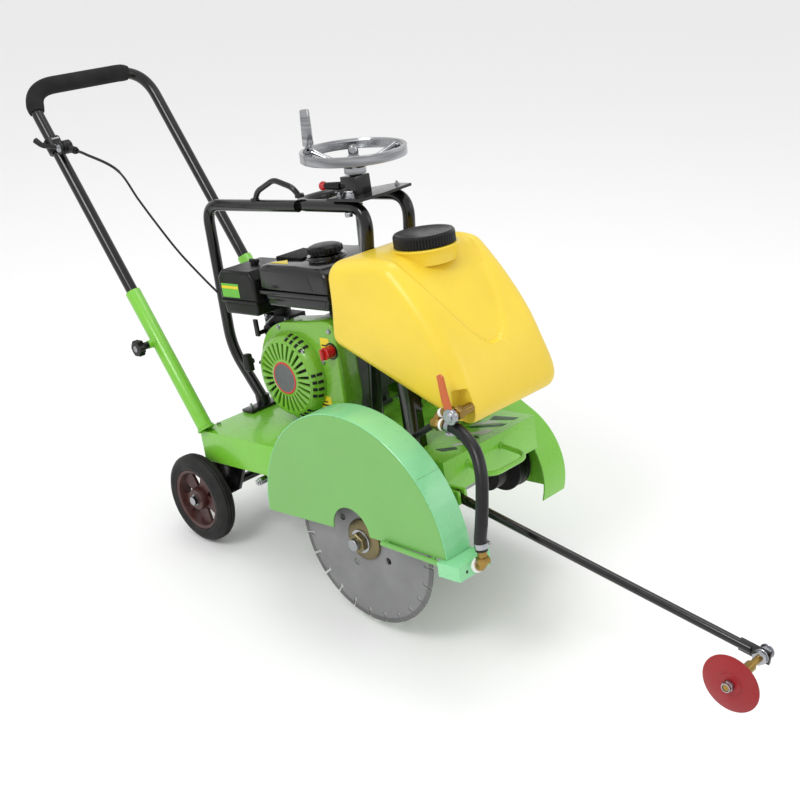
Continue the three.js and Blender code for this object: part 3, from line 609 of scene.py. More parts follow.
def make_front_hoop():
    right, left = HOOP_SIDES
    hoop = places((-140, right, 142.4), (-72, right, 599), (-288, right, 599),
                  (-288, left, 599), (-72, left, 599), (-140, left, 142.4))
    along_path(rounded(hoop, 51, 16), CAGE_TUBE_R, 32)
    piece("hoop_tube", BLACK, "cage_front_hoop")
    for y in (150, 230):
        bolt(at(-493, y, 148), Z, 6, 6)
    for y in HOOP_SIDES:
        ring_of(at(-139.6, y, 144), Z, 13, 3, squash=0.7)
    piece("cage_fixings", BRIGHT)


# ---- depth control -------------------------------------------------------------------------
LEVER_AT = 640
WHEEL_AT = 706


def wheel_point(radius, angle, along):
    return screw(along) + (Y.rotation_difference(SCREW) @ lean(angle)) * radius


def make_screw_housing():
    plate = [(-158, 178), (-64, 178), (-60, 240), (-74, 330), (-120, 330), (-158, 262)]
    prism(plate, 611.9, 617.9, 1.2, flat=True)
    rod(screw(652), screw(668), 13, 40)
    piece("screw_plate", BLACK)
    x = screw(618).x
    z = screw(LEVER_AT).z
    block(x - 30, x - 9, 200, 260, z - 7.5, z + 7.5, 0.5)
    slot = take("lever_slot")
    block(x - 21, x + 21, 209, 251, 617, 654, 2.5)
    piece("screw_housing", BLACK, "screw_block", angle=40, cutters=[slot])
    for x, y, size in ((-104, 190, 9), (-140, 196, 6), (-96, 312, 5)):
        bolt(at(x, y, 617.9), Z, size, 4)
    hexagon(at(-104, 190, 625), Z, 12, 6)
    hexagon(at(-104, 180, 583), Z, 14, 8)
    piece("housing_bolts", BRIGHT)


def make_screw():
    ridges = [(9 if i % 2 else 7.4, -46 + i * 2.0) for i in range(328)]
    ends = [(9, 612), (9, 700), (7, 704), (7, 714), (5, 716)]
    lathe([(7, -48)] + ridges + ends, screw(0), SCREW, 24, closed=False)
    piece("screw_thread", STEEL, "lead_screw")


def make_handwheel():
    rim = [(92, -8.5), (93, -9.5), (103.6, -9.5), (104.6, -8.5), (104.6, 8.5), (103.6, 9.5), (97, 9.5),
           (95, 6), (92, 5)]
    lathe(rim, screw(WHEEL_AT), SCREW, 120)
    hub = [(9.2, -14), (21, -14), (22, -13), (22, -2), (26, 2), (30, 6), (24, 9), (17, 10), (9.2, 10)]
    lathe(hub, screw(680), SCREW)
    for angle in (40, 160, 280):
        points = [wheel_point(r, angle, along) for r, along in ((14, 684), (52, 690), (95, 704))]
        along_path(smooth(points, 10), lambda t: 9 - 3.5 * math.sin(math.pi * t), 20)
    piece("handwheel_rim", CHROME, "handwheel")
    hexagon(screw(690.5), SCREW, 22, 9)
    lathe([(10, 699), (10, 712), (7, 719), (2, 721)], screw(0), SCREW, 40, closed=False)
    piece("wheel_nut", CHROME, body="screw")
    pin = wheel_point(97, 155, WHEEL_AT)
    grip = [(6, 8.6), (7, 8.6), (7, 12), (10.6, 13), (11, 16), (10.4, 46), (9.4, 80), (8.6, 82.6), (6, 83)]
    lathe(grip, pin, SCREW, 40)
    lathe([(0, 11), (6.1, 11), (6.1, 83.4), (0, 83.4)], pin, SCREW, 32, closed=False)
    piece("crank_grip", CHROME, "handwheel_grip")


def make_lock_lever():
    root = screw(LEVER_AT) + at(-22.8, -3, 0)
    ball = root + at(-58, -12, 3)
    rod(root.lerp(ball, 0.04), root.lerp(ball, 0.32), 5, 28)
    rod(root.lerp(ball, 0.27), root.lerp(ball, 0.92), 9, 32, 7)
    piece("lock_lever_arm", PLASTIC, "lock_lever")
    bmesh.ops.create_uvsphere(sketch, u_segments=32, v_segments=20, radius=9.4,
                              matrix=Matrix.Translation(ball))
    piece("lock_lever_ball", RED, body="lock_lever")


# ---- running gear --------------------------------------------------------------------------
def make_front_wheel(side, y):
    centre = at(-130, y, -127.6)
    lathe([(30, -14), (42, -14), (46, -12), (48, -8), (48, 8), (46, 12), (42, 14), (30, 14)], centre, Y, 64)
    piece(f"front_tread_{side}", RUBBER, f"front_wheel_{side}")
    hub = [(9.7, -14), (15, -14), (16, -8), (28, -6), (30.4, -10)]
    lathe(mirrored(hub), centre)
    piece(f"front_hub_{side}", ALLOY, body=f"front_wheel_{side}")


def make_tyre(side, centre):
    half = [(69.5, -18), (74, -19.5), (84, -20), (89, -19), (96, -14), (98.6, -9.6)]
    tread = list(half)
    for groove in (-6.4, 0, 6.4):
        crown = 100 - abs(groove) * 0.1
        tread += [(crown, groove - 2.2), (97.6, groove - 1.2), (97.6, groove + 1.2), (crown, groove + 2.2)]
    tread += [(r, -h) for r, h in reversed(half)]
    lathe(tread, centre, Y, 96)
    for r, h in ((80, 19.9), (87.5, 19)):
        for s in (-1, 1):
            ring_of(centre + Y * h * s, Y, r, 0.7, 96, 8)
    piece(f"rear_tread_{side}", TYRE, f"rear_tyre_{side}")


def make_rim(side, centre):
    half = [(60, -4), (62, -15), (66, -17.6), (68.4, -17.6)]
    lathe(mirrored(half), centre, Y, 72)
    half = [(13, -18), (23, -18), (24, -16), (26, -5)]
    lathe(mirrored(half), centre)
    for i in range(5):
        a0, a1 = (math.radians(20 + 72 * i + d) for d in (18, 54))
        middle = (a0 + a1) / 2
        arm = [spoke(a) * 24.5 for a in (a0 - 0.25, middle, a1 + 0.25)]
        arm += [spoke(a) * 61 for a in (a1 + 0.02, middle, a0 - 0.02)]
        prism([(centre.x + p.x, centre.z + p.z) for p in arm], centre.y - 3.6, centre.y + 3.6, 1)
    piece(f"rear_wheel_disc_{side}", RIM, f"rear_rim_{side}")


def make_rear_wheel(side, y, out):
    centre = at(-518, y, -10)
    make_tyre(side, centre)
    make_rim(side, centre)
    lathe([(10.4, 12), (12.9, 12), (12.9, 18.2), (10.4, 18.2)], centre, Y * out)
    lathe([(10.4, -18.2), (12.9, -18.2), (12.9, -12), (10.4, -12)], centre, Y * out)
    piece(f"rear_bearing_{side}", STEEL, body=f"rear_wheel_{side}")
    cap = [(0, 18.8), (12, 18.8), (12, 20.6), (9.6, 20.6), (9.6, 27), (8.4, 28), (0, 28)]
    lathe(cap, centre, Y * out, 40, closed=False)
    pin = centre + Y * out * 24
    rod(pin - Z * 12, pin + Z * 12, 1.5, 12)
    piece(f"axle_end_{side}", BRIGHT)


# ---- engine --------------------------------------------------------------------------------
ENGINE = at(-313, 0, 250)
SWITCH = ENGINE + at(126, 0, 62)
FUEL_CAP = at(ENGINE.x + 62, 232, 0)


def from_shaft(*points):
    """Side-plane points whose x is counted from the crankshaft."""
    return [(ENGINE.x + u, v) for u, v in points]


def make_blower():
    for y in (224, 314):
        for x in (-82, 88):
            bolt(at(ENGINE.x + x, y, 149.4), Z, 6, 5)
    piece("engine_foot_bolts", BRIGHT)
    outline = circle(ENGINE.x, ENGINE.z + 4, 108, 100, 290, 40)
    outline += from_shaft((122, 164), (134, 180), (142, 210), (142, 346), (138, 362), (126, 372), (104, 374))
    prism(outline, 150, 204, 7, 4)
    piece("blower_shell", COVER, "blower_housing")
    # Thin near-black slabs in the vent slots: painted shade for the dark inside of each slot.
    for angle in (78, 68, 58, 48, 8, -2, -12, -22, -52, -62, -72):
        out = lean(angle)
        aside = square_to(out) * 3
        for span in (((82.6, 121.8), (88.4, 128.6)), ((90.2, 131), (93.6, 142.4))):
            ends = [ENGINE + Y * (y - 0.5) + out * (r + 0.9) for r, y in span]
            back = Y * 3 - out * 2
            skin([[p + aside, p - aside, p - aside + back, p + aside + back] for p in ends])
    piece("blower_louvre_shade", SHADE_AND_PRINT)
    for angle in (18, 108, 205, 290):
        bolt(ENGINE + at(0, 150, 4) + lean(angle) * 101, -Y, 4.5)
    bolt(ENGINE + at(128, 150, 104), -Y, 5)
    piece("blower_bolts", BRIGHT)


def make_recoil():
    lathe([(76, 120.6), (84, 124), (91, 134), (94, 149.4), (70, 149.4), (72, 128)], ENGINE, Y, 96)
    lathe([(0, 118), (39, 118), (41, 119), (42, 126), (0, 126)], ENGINE, Y, 64, closed=False)
    for a in turn(28):
        out = spoke(a)
        side = square_to(out)
        rings = []
        for r, half, y in ((40, 2.2, 118.4), (58, 3.4, 118.6), (78, 5.2, 120.6)):
            p = ENGINE + out * r + Y * y
            rings.append([p + side * half, p - side * half, p - side * half + Y * 6, p + side * half + Y * 6])
        skin(rings)
    piece("recoil_shell", COVER, "recoil_cover")
    # A near-black disc behind the vanes: painted shade for the dark inside seen through the vents.
    lathe([(0, 127), (76, 127), (76, 140), (0, 140)], ENGINE, Y, 64, closed=False)
    piece("recoil_vent_shade", SHADE_AND_PRINT)
    ring_of(ENGINE + Y * 118, Y, 33, 2.6, 64, 10, 0.5)
    piece("recoil_badge_ring", RED)
    lathe([(0, 117.2), (31, 117.2), (32, 118.2), (0, 118.2)], ENGINE, Y, 64, closed=False)
    piece("recoil_badge", BADGE)
    for angle in (45, 165, 285):
        bolt(ENGINE + Y * 128 + lean(angle) * 88, -Y, 4)
    piece("recoil_bolts", BRIGHT)
    prism(from_shaft((-119, 256), (-97, 256), (-100, 294), (-116, 294)), 104, 120, 4.5, 4)
    rod(ENGINE + at(-108, 118, 25), ENGINE + at(-108, 126, 25), 6, 24)
    piece("pull_grip", PLASTIC, "pull_handle")


def make_fuel_tank():
    shell = from_shaft((-60, 429), (153, 429), (156, 462), (150, 474), (128, 483), (60, 486), (-30, 486),
                       (-50, 482), (-58, 470))
    prism(shell, 140, 330, 12, 5)
    prism(from_shaft((-62, 422), (155, 422), (155, 431), (-62, 431)), 138, 332, 2.2)
    prism(from_shaft((-46, 396), (142, 396), (150, 424), (-56, 424)), 146, 324, 8, 4)
    lathe([(30, 480), (44, 480), (43, 487), (38, 489), (30, 489)], FUEL_CAP, Z, 64)
    piece("fuel_tank_shell", GLOSS, "fuel_tank")
    prism(from_shaft((-46, 438), (112, 438), (100, 470), (-46, 474)), 139.2, 142.2, 1.3)
    prism(from_shaft((-38, 402), (134, 402), (140, 418), (-44, 418)), 145, 148, 1.3)
    piece("fuel_tank_panels", GLOSS)
    for i in range(12):
        x = ENGINE.x - 50 + 7 * i
        block(x, x + 3.6, 190, 268, 480, 490.5, 1.2)
    piece("tank_ribs", PLASTIC)
    prism(from_shaft((-30, 158), (26, 158), (-6, 184)), 485.6, 486.6, flat=True)
    patch("tank_sticker", STICKER)
    cap = [(0, 487), (25, 487), (25, 493), (34, 494), (36, 497), (36, 505), (33, 509), (26, 511.5), (0, 512)]
    lathe(cap, FUEL_CAP, Z, 64, closed=False)
    for a in turn(24):
        p = FUEL_CAP + at(35 * math.cos(a), 35 * math.sin(a), 0)
        rod(p + Z * 496, p + Z * 507, 2.2, 12)
    piece("fuel_cap_shell", PLASTIC, "fuel_cap")
    lathe([(26, 488.8), (39, 488.8), (39.5, 490.8), (26, 491.8)], FUEL_CAP, Z, 64)
    piece("fuel_cap_seat", CHROME)


def make_air_filter():
    lid = from_shaft((-186, 404), (-66, 404), (-66, 452), (-80, 470), (-172, 470), (-186, 456))
    prism(lid, 130, 250, 8, 4)
    prism(from_shaft((-187.4, 400), (-64.6, 400), (-64.6, 406), (-187.4, 406)), 128.6, 251.4, 1.6)
    prism(from_shaft((-180, 373), (-72, 373), (-68, 401), (-184, 401)), 133, 247, 7, 4)
    piece("air_filter_shell", PLASTIC, "air_filter_box")
    prism(from_shaft(*rectangle(-176, 412, 58, 30)), 129.4, 130.1)
    patch("filter_label_green", LABEL)
    prism(from_shaft(*rectangle(-175, 431, 56, 6)), 129.1, 129.8)
    patch("filter_label_band", STICKER)
    p = at(ENGINE.x - 126, 190, 470)
    rod(p, p + Z * 7, 9)
    block(p.x - 15, p.x + 15, 187, 193, 474, 482, 2)
    piece("filter_wing_nut", PLASTIC)


def make_carburettor():
    from_cad("carburettor", CAST, 1.2)
    for z in (306, 344):
        for x in (-150, -84):
            bolt(at(ENGINE.x + x, 214, z), -Y, 3.6)
    rod(at(ENGINE.x - 138, 204, 352), at(ENGINE.x - 138, 236, 352), 3, 16)
    links = (((-150, 330), (-112, 352)), ((-146, 322), (-96, 330)), ((-120, 312), (-92, 300)))
    for (ax, az), (bx, bz) in links:
        rod(at(ENGINE.x + ax, 208, az), at(ENGINE.x + bx, 206, bz), 1.8, 12)
    piece("carburettor_screws", BRIGHT)


def make_muffler():
    from_cad("muffler", CAST, 3.0)
    for i in range(9):
        x = ENGINE.x + 60 + 8 * i
        block(x, x + 4, 215.2, 326.8, 386, 388.4, 0.8)
    piece("muffler_guard", PLASTIC)


def make_switch():
    lathe([(0, 128.6), (10, 128), (13, 130), (13, 149.4), (0, 149.4)], SWITCH, Y, 40, closed=False)
    prism(rectangle(SWITCH.x - 3.6, SWITCH.z - 11.6, 7.2, 23.2), 120, 131, 2)
    piece("switch_knob", RED, "engine_switch")
    lathe([(14.5, 148.6), (17.5, 148.6), (18, 150), (14.5, 150)], SWITCH, Y, 40)
    piece("switch_bezel", PLASTIC)
    from_cad("choke_lever", PLASTIC)
    plug = ENGINE + at(118, 270, 0)
    rod(plug, plug + X * 22, 9, 24, 7)
    lead = [plug + X * 18, plug + at(26, -20, 24), plug + at(4, -60, 60), plug + at(-10, -74, 76)]
    along_path(smooth(lead), 3.4, 16)
    piece("spark_lead", RUBBER)


def make_stickers():
    for sheet in ((96, 308, 26, 30), (66, 184, 34, 26)):
        prism(from_shaft(*rectangle(*sheet)), 149.5, 150.1)
    patch("blower_stickers", STICKER)
    for line in ((99, 312, 20, 5), (99, 321, 14, 3), (69, 188, 28, 4), (69, 196, 20, 3)):
        prism(from_shaft(*rectangle(*line)), 149.2, 149.7)
    patch("sticker_bars", SHADE_AND_PRINT)


# ---- belt drive ----------------------------------------------------------------------------
def belt_outline(engine_r, arbor_r, steps=48):
    """A belt's line round two wheels, one on the engine's shaft and one on the arbor."""
    along = math.degrees(math.atan2(-ENGINE.z, -ENGINE.x))
    tilt = math.degrees(math.acos((engine_r - arbor_r) / ENGINE.length))
    return (circle(0, 0, arbor_r, along - tilt, along + tilt, steps)
            + circle(ENGINE.x, ENGINE.z, engine_r, along + tilt, along - tilt + 360, steps))


def side_ring(line, y):
    return [at(u, y, v) for u, v in line]


def sheave(centre, r, bore):
    lathe([(bore, 398), (r - 1, 398), (r, 399), (r, 402), (r - 9, 404), (r - 9, 414), (r - 1, 415),
           (r - 1, 417), (r - 9, 418), (r - 9, 428), (r, 430), (r, 433), (r - 1, 434), (bore, 434)],
          centre, Y, 72)


def make_drive():
    sheave(ENGINE, 48, 9)
    rod(ENGINE + Y * 340.5, ENGINE + Y * 440, 9.5)
    piece("engine_sheave", CAST, "engine_pulley")
    sheave(ORIGIN, 58, 12.9)
    piece("arbor_sheave", CAST, "arbor_pulley")
    outer, inner = belt_outline(46.9, 56.9), belt_outline(40.2, 50.2)
    for y in (404.4, 419.4):
        section = ((outer, y), (outer, y + 8), (inner, y + 7), (inner, y + 1))
        skin([side_ring(*corner) for corner in section], closed=True)
    piece("belts", RUBBER, "drive_belt")
    arbor = [(0, -36), (11.5, -36), (12.5, -35), (12.5, 2.2), (41, 2.2), (42, 3), (42, 11), (41, 12),
             (12.5, 12), (12.5, 439), (11.5, 440), (0, 440)]
    lathe(arbor, ORIGIN, Y, 64, closed=False)
    piece("arbor", STEEL, "arbor_shaft")
    for side, y in (("right", 121), ("left", 363)):
        from_cad(f"bearing_{side}", CAST, 1.6)
        for x in (-44, 44):
            bolt(at(x, y, 135), -Z, 6, 8)
        rod(at(0, y, 38), at(0, y, 48), 3.4, 16)
        piece(f"bearing_bolts_{side}", BRIGHT)


def make_belt_cover():
    outer, inner, lip = (belt_outline(86 - t, DECK_TOP - t, 64) for t in (0, 3, 1.4))
    shell = [side_ring(inner, 375.6), side_ring(outer, 375.6), side_ring(outer, 444.6), side_ring(lip, 446)]
    lining = [side_ring(inner, 375.6), side_ring(inner, 443)]
    for rings in (shell, lining):
        skin(rings, capped=False)
        sketch.faces.new([sketch.verts.new(p) for p in rings[-1]])
    bmesh.ops.remove_doubles(sketch, verts=sketch.verts, dist=0.01)
    everything = list(sketch.verts) + list(sketch.edges) + list(sketch.faces)
    bmesh.ops.bisect_plane(sketch, geom=everything, plane_co=at(0, 0, -48), plane_no=-Z, clear_outer=True)
    piece("belt_cover", LIME, "belt_guard")
    for x, z in ((-330, 300), (-110, 196), (96, 40), (-240, 130)):
        bolt(at(x, 446, z), Y, 5)
    piece("belt_cover_bolts", BRIGHT)


# ---- blade and guard -----------------------------------------------------------------------
BLADE_R = 175
TEETH = 24
TOOTH_PITCH = 2 * math.pi / TEETH
GUARD_R = 246
GUARD_Z = 18
GUARD_FOOT = 25


def make_blade_cutters():
    notches = [spoke(TOOTH_PITCH * (i + 0.5)) for i in range(TEETH)]
    for out in notches:
        aside = square_to(out) * 2.2
        corners = [out * 160 + aside, out * 160 - aside, out * 182 - aside, out * 182 + aside]
        skin([[p + Y * y for p in corners] for y in (-5, 5)])
    slots = take("slot_cutter")
    for out in notches:
        rod(out * 158 - Y * 5.5, out * 158 + Y * 5.5, 4.8, 20, soft=0.1)
    keyholes = take("keyhole_cutter")
    for angle, r, size in ((58, 66, 7.5), (148, 66, 7.5), (238, 66, 7.5), (328, 66, 7.5), (0, 0, 12.9)):
        rod(lean(angle) * r - Y * 5, lean(angle) * r + Y * 5, size, 40, soft=0.1)
    return [slots, keyholes, take("hole_cutter")]


def make_blade():
    cutters = make_blade_cutters()
    prism(circle(0, 0, BLADE_R - 0.4, steps=144), -1.4, 1.4)
    piece("blade_core", DISC, "blade", angle=30, cutters=cutters)
    half = TOOTH_PITCH / 2 - 2.3 / BLADE_R
    for i in range(TEETH):
        arc = [TOOTH_PITCH * (i + 1) - half + 2 * half * t / 8 for t in range(9)]
        line = [spoke(t) * (BLADE_R + 0.2) for t in arc] + [spoke(t) * 166 for t in reversed(arc)]
        prism([(p.x, p.z) for p in line], -1.7, 1.7)
    piece("blade_segments", SEGMENT, body="rotor")
    flange = [(12.8, -12), (31, -12), (33, -11.4), (41, -7.4), (42, -6), (42, -1.9), (12.8, -1.9)]
    lathe(flange, ORIGIN, Y, 64)
    piece("flange_turned", ZINC, "outer_flange")
    hexagon(Y * -15, -Y, 37, 12)
    piece("arbor_hex", ZINC, "arbor_nut")
    lathe([(12.8, -15.2), (23, -15.2), (24, -14.6), (24, -12.4), (12.8, -12.4)], ORIGIN)
    piece("arbor_washer", BRIGHT, body="rotor")


def guard_side(r):
    """The half-round side plate with the arch that clears the flange."""
    low = math.degrees(math.asin((GUARD_FOOT - GUARD_Z) / r))
    arch = circle(0, 27, 50, 180, 0, 32)
    return circle(0, GUARD_Z, r, low, 180 - low, 96) + [(x, z) for x, z in arch if z > GUARD_FOOT + 0.2]


def make_guard():
    side = guard_side(GUARD_R - 2.4)
    for y0, y1 in ((-32, -29.4), (29.4, 32)):
        prism(side, y0, y1)
    piece("guard_sides", GREEN, "blade_guard")
    centre = Z * GUARD_Z
    section = ((-3, -31.2), (-1, -32), (0, -31), (0, 31), (-1, 32), (-3, 31.2))
    low = math.asin((GUARD_FOOT - GUARD_Z) / GUARD_R)
    angles = [low + (math.pi - 2 * low) * i / 96 for i in range(97)]
    skin([[centre + spoke(a) * (GUARD_R + r) + Y * y for r, y in section] for a in angles])
    # The band in the lightened copy of the guard paint: painted highlight.
    piece("guard_band", GUARD_PAINT_HIGHLIGHT)
    for angle in (38, 128):
        seam = centre + lean(angle) * GUARD_R
        rod(seam - Y * 30, seam + Y * 30, 1.5, 12)
    for x in (-150, 60):
        block(x, x + 46, 31, 102.6, 96, 122, 2)
    # The arms in the lightened copy of the guard paint: painted highlight.
    piece("guard_arms", GUARD_PAINT_HIGHLIGHT)


# ---- water ---------------------------------------------------------------------------------
TANK_CAP = at(55, 215, 0)
TANK_RIGHT, TANK_LEFT = 82, 350
VALVE = at(224, 0, 264)
HOSE_END = at(171, 62, 240)
BLOCK_FRONT = 284


def make_water_block():
    block(232, BLOCK_FRONT, -44, 34, -4, 24.4, 1.2)
    block(262, BLOCK_FRONT, 34, 39, -4, 40, 1.2)
    # The block in the lightened copy of the guard paint: painted highlight.
    piece("water_block_shape", GUARD_PAINT_HIGHLIGHT, "water_block")
    # A near-black disc on the block's front: painted shade for the inside of the bore.
    rod(at(BLOCK_FRONT - 0.4, -24, 9), at(BLOCK_FRONT + 0.3, -24, 9), 3, 24)
    patch("block_bore_shade", SHADE_AND_PRINT)
    along_path(places((BLOCK_FRONT, 0, 11), (297, 0, 13), (303, 0, 20), (303, 0, 44)), 9, 32)
    hexagon(at(303, 0, 20), Z, 23, 12)
    piece("elbow", BRASS)
    lathe([(8, 0), (13, 0), (13.4, 3), (12, 7), (8, 7)], at(BLOCK_FRONT, 0, 11), at(1, 0, 0.3), 40)
    piece("elbow_tape", TAPE)
    rod(at(232.4, -38, 18), at(88, -38, 27), 5)
    for x, z in ((100, 26.2), (215, 19)):
        block(x - 5, x + 5, -36, -31.8, z - 2, z + 6, 1)
    piece("spray_tube", GREEN, "spray_pipe")


def tank_outline():
    """Side view of the tank, closed, starting at its top rear corner and running forwards."""
    line = curve2((-96, 488), (-92, 514), (-66, 518), 8) + curve2((-66, 518), (60, 534), (84, 514), 14)
    line += curve2((84, 514), (160, 440), (204, 350), 24) + curve2((204, 350), (240, 262), (232, 244), 12)
    line += curve2((232, 244), (228, 228), (208, 230), 8)
    line += straight((208, 230), (140, 253), 6) + curve2((140, 253), (126, 258), (112, 263.6), 4)
    line += straight((112, 263.6), (-90, 344.8), 14) + curve2((-90, 344.8), (-108, 352), (-106.5, 370), 6)
    return line + straight((-106.5, 370), (-96, 488), 8)[:-1]


def panel_depth(x, z, y):
    """How far the middle panel is sunk at a point of the front: a parabola from the cap to a tip."""
    top, height, half_width, middle, start_x = 514, 164, 104, 216, 20
    down = (top - z) / height
    if x < start_x or down > 1:
        return 0
    width = half_width * math.sqrt(1 - max(0, down))
    edge = min(1, max(0, (width - abs(y - middle)) / 9))
    start = min(1, (x - start_x) / 70)
    return 9.5 * edge * edge * (3 - 2 * edge) * start


def tank_stations(soft=34):
    """(y, inset) pairs across the tank, with a quarter round at each side."""
    corner = [(TANK_RIGHT + soft * (1 - math.cos(a)), soft * (1 - math.sin(a)))
              for a in (math.pi / 2 * i / 9 for i in range(10))]
    width = TANK_LEFT - TANK_RIGHT - 2 * soft
    flat = [(TANK_RIGHT + soft + width * i / 60, 0) for i in range(1, 60)]
    return corner + flat + [(TANK_RIGHT + TANK_LEFT - y, inset) for y, inset in reversed(corner)]


def make_water_tank():
    low, high = Vector((-20, 430)), Vector((150, 320))
    spine = high - low
    rings = []
    for y, inset in tank_stations():
        points = []
        for x, z in tank_outline():
            p = Vector((x, z))
            share = (p - low).dot(spine) / spine.length_squared
            inwards = (low.lerp(high, min(1, max(0, share))) - p).normalized()
            p += inwards * (inset * 0.8 + panel_depth(x, z, y))
            points.append(at(p.x, y, p.y))
        rings.append(points)
    block(200, 264, 60, 104, 190, 300, 8)
    cutters = [take("recess_cutter")]
    for y in HOOP_SIDES:
        rod(at(-141, y, 135), at(-71, y, 606), 15.6, 40)
        cutters.append(take(f"channel_cutter_{y}"))
    skin(rings)
    piece("tank_shell", YELLOW, "water_tank", angle=40, cutters=cutters)
    collar = [(40, 496), (56, 496), (58, 508), (62.5, 520), (65.6, 524), (65.6, 526), (64.6, 526.8),
              (40, 526.8)]
    lathe(collar, TANK_CAP, Z, 96)
    piece("tank_collar", YELLOW)


def make_tank_cap():
    ribs = []
    for i, a in enumerate(turn(180)):
        r = 59 if i % 3 else 57.4
        ribs.append((TANK_CAP.x + r * math.cos(a), TANK_CAP.y + r * math.sin(a)))
    prism(ribs, 528, 547, flat=True)
    top = [(0, 546), (58.6, 546), (58.4, 549), (56, 551.8), (50, 551.8), (47, 550), (0, 550)]
    lathe(top, TANK_CAP, Z, 96, closed=False)
    piece("tank_cap_shell", PLASTIC, "tank_cap")
    from_cad("tank_stand", BLACK, 1.2)


def make_valve():
    rod(VALVE + Y * 57, VALVE + Y * 104, 9)
    hexagon(VALVE + Y * 62, Y, 22, 16)
    along_path(smooth([VALVE + Y * 72, at(196, 71, 262), at(178, 70, 256), HOSE_END]), 8, 32)
    hexagon(at(200, 71.4, 262.4), X, 19, 10)
    rod(HOSE_END - X * 5, HOSE_END + X * 25, 10.4)
    hexagon(HOSE_END + X * 4, X, 22, 9)
    piece("valve_brass", BRASS, "ball_valve")
    lathe([(8, 0), (10.9, 0), (11.2, 3), (10.9, 6), (8, 6)], HOSE_END + X * 15, X, 40)
    lathe([(7, 0), (8.7, 0), (9.1, 3), (8.7, 7), (7, 7)], at(180, 70.4, 257.6), at(1, 0, 0.4), 40)
    piece("valve_tape", TAPE)
    branch = [HOSE_END - X * 2, at(158, 60, 232), at(136, 52, 218), at(104, 42, 200)]
    along_path(smooth(branch), 6.4, 28)
    piece("branch_pipe", HOSE)
    rod(at(122, 47, 210), branch[-1], 8.2, 28)
    piece("branch_end", BRASS)
    lathe([(9.4, 44.8), (14, 44.8), (15, 46), (15, 52), (14, 53), (9.4, 53)], VALVE, Y, 40)
    rod(VALVE + Y * 44, VALVE + Y * 56.4, 9.4)
    hexagon(VALVE + Y * 46.4, -Y, 13, 5)
    piece("valve_nut", BRIGHT, body="valve_lever")
    strap = [(216, 266), (232, 266), (226, 290), (219, 338), (212, 342), (204, 338), (208, 290)]
    prism(strap, 46.8, 51.2, 1.6, 4)
    piece("valve_handle", ORANGE, "valve_lever")


# ---- guide pointer -------------------------------------------------------------------------
GUIDE = lean(-13.7)
GUIDE_ROOT = at(165, 95, 83)
GUIDE_TIP = GUIDE_ROOT + GUIDE * 634
GUIDE_AXLE = at(GUIDE_TIP.x, 0, GUIDE_TIP.z)


def make_guide():
    rod(GUIDE_ROOT + GUIDE * 32, GUIDE_ROOT + GUIDE * 616, 8, 40, soft=1.2)
    lathe([(5.7, -4.4), (12, -4.4), (12, 4.4), (5.7, 4.4)], GUIDE_ROOT, Y, 40)
    bar(GUIDE_ROOT + GUIDE * 10, GUIDE_ROOT + GUIDE * 38, 8, 4.3)
    bar(GUIDE_TIP - GUIDE * 40, GUIDE_TIP + GUIDE * 14, 11, 3)
    piece("guide_tube", BLACK, "guide_arm")
    rod(GUIDE_AXLE - Y * 14, GUIDE_AXLE + Y * 117, 5.9)
    rod(GUIDE_AXLE + Y * 8, GUIDE_AXLE + Y * 60, 9)
    piece("guide_axle", BRASS, "guide_bolt")
    for y, across, height in ((99.4, 19, 9), (80, 21, 10)):
        hexagon(GUIDE_AXLE + Y * y, Y, across, height)
        face = GUIDE_AXLE + Y * (y + height)
        rod(face - Y * 0.4, face + Y * 1.8, 12.6)
    hexagon(GUIDE_AXLE - Y * 4.6, -Y, 17, 7)
    lathe([(6, -15), (7.6, -15), (8, -12), (8, -11), (6, -11)], GUIDE_AXLE, Y, 32)
    piece("guide_nuts", BRIGHT, body="guide_arm")
    disc = [(6.6, -4), (19, -4), (20, -2.4), (46.8, -1.2), (48, -0.4), (48, 0.4), (46.8, 1.2), (20, 2.4),
            (19, 5), (6.6, 5)]
    lathe(disc, GUIDE_AXLE, Y, 96)
    piece("guide_wheel", RED_PAINT, "guide_disc")
    rod(GUIDE_ROOT - Y * 14, GUIDE_ROOT + Y * 14, 5, 24)
    hexagon(GUIDE_ROOT - Y * 20, Y, 15, 7.8)
    hexagon(GUIDE_ROOT + Y * 12.4, Y, 15, 7)
    piece("guide_pivot_bolt", BRIGHT)


# ---- deck ----------------------------------------------------------------------------------
def deck_print(name, material, low, *outlines):
    for outline in outlines:
        prism(outline, low, low + 0.5, flat=True)
    patch(name, material)


def make_deck_print():
    deck_print("deck_print_slate", SLATE, DECK_TOP,
               [(44, 268), (60, 268), (112, 300), (112, 316)],
               [(64, 318), (112, 338), (112, 352), (58, 340)],
               [(64, 214), (82, 206), (112, 232), (100, 240)],
               [(70, 150), (92, 146), (112, 168), (100, 176)])
    deck_print("deck_print_pale", PALE, DECK_TOP + 0.3,
               [(48, 276), (102, 316), (64, 316), (66, 302), (54, 300)],
               [(76, 240), (108, 246), (112, 272), (96, 276)],
               [(84, 176), (98, 180), (112, 196), (96, 200)])


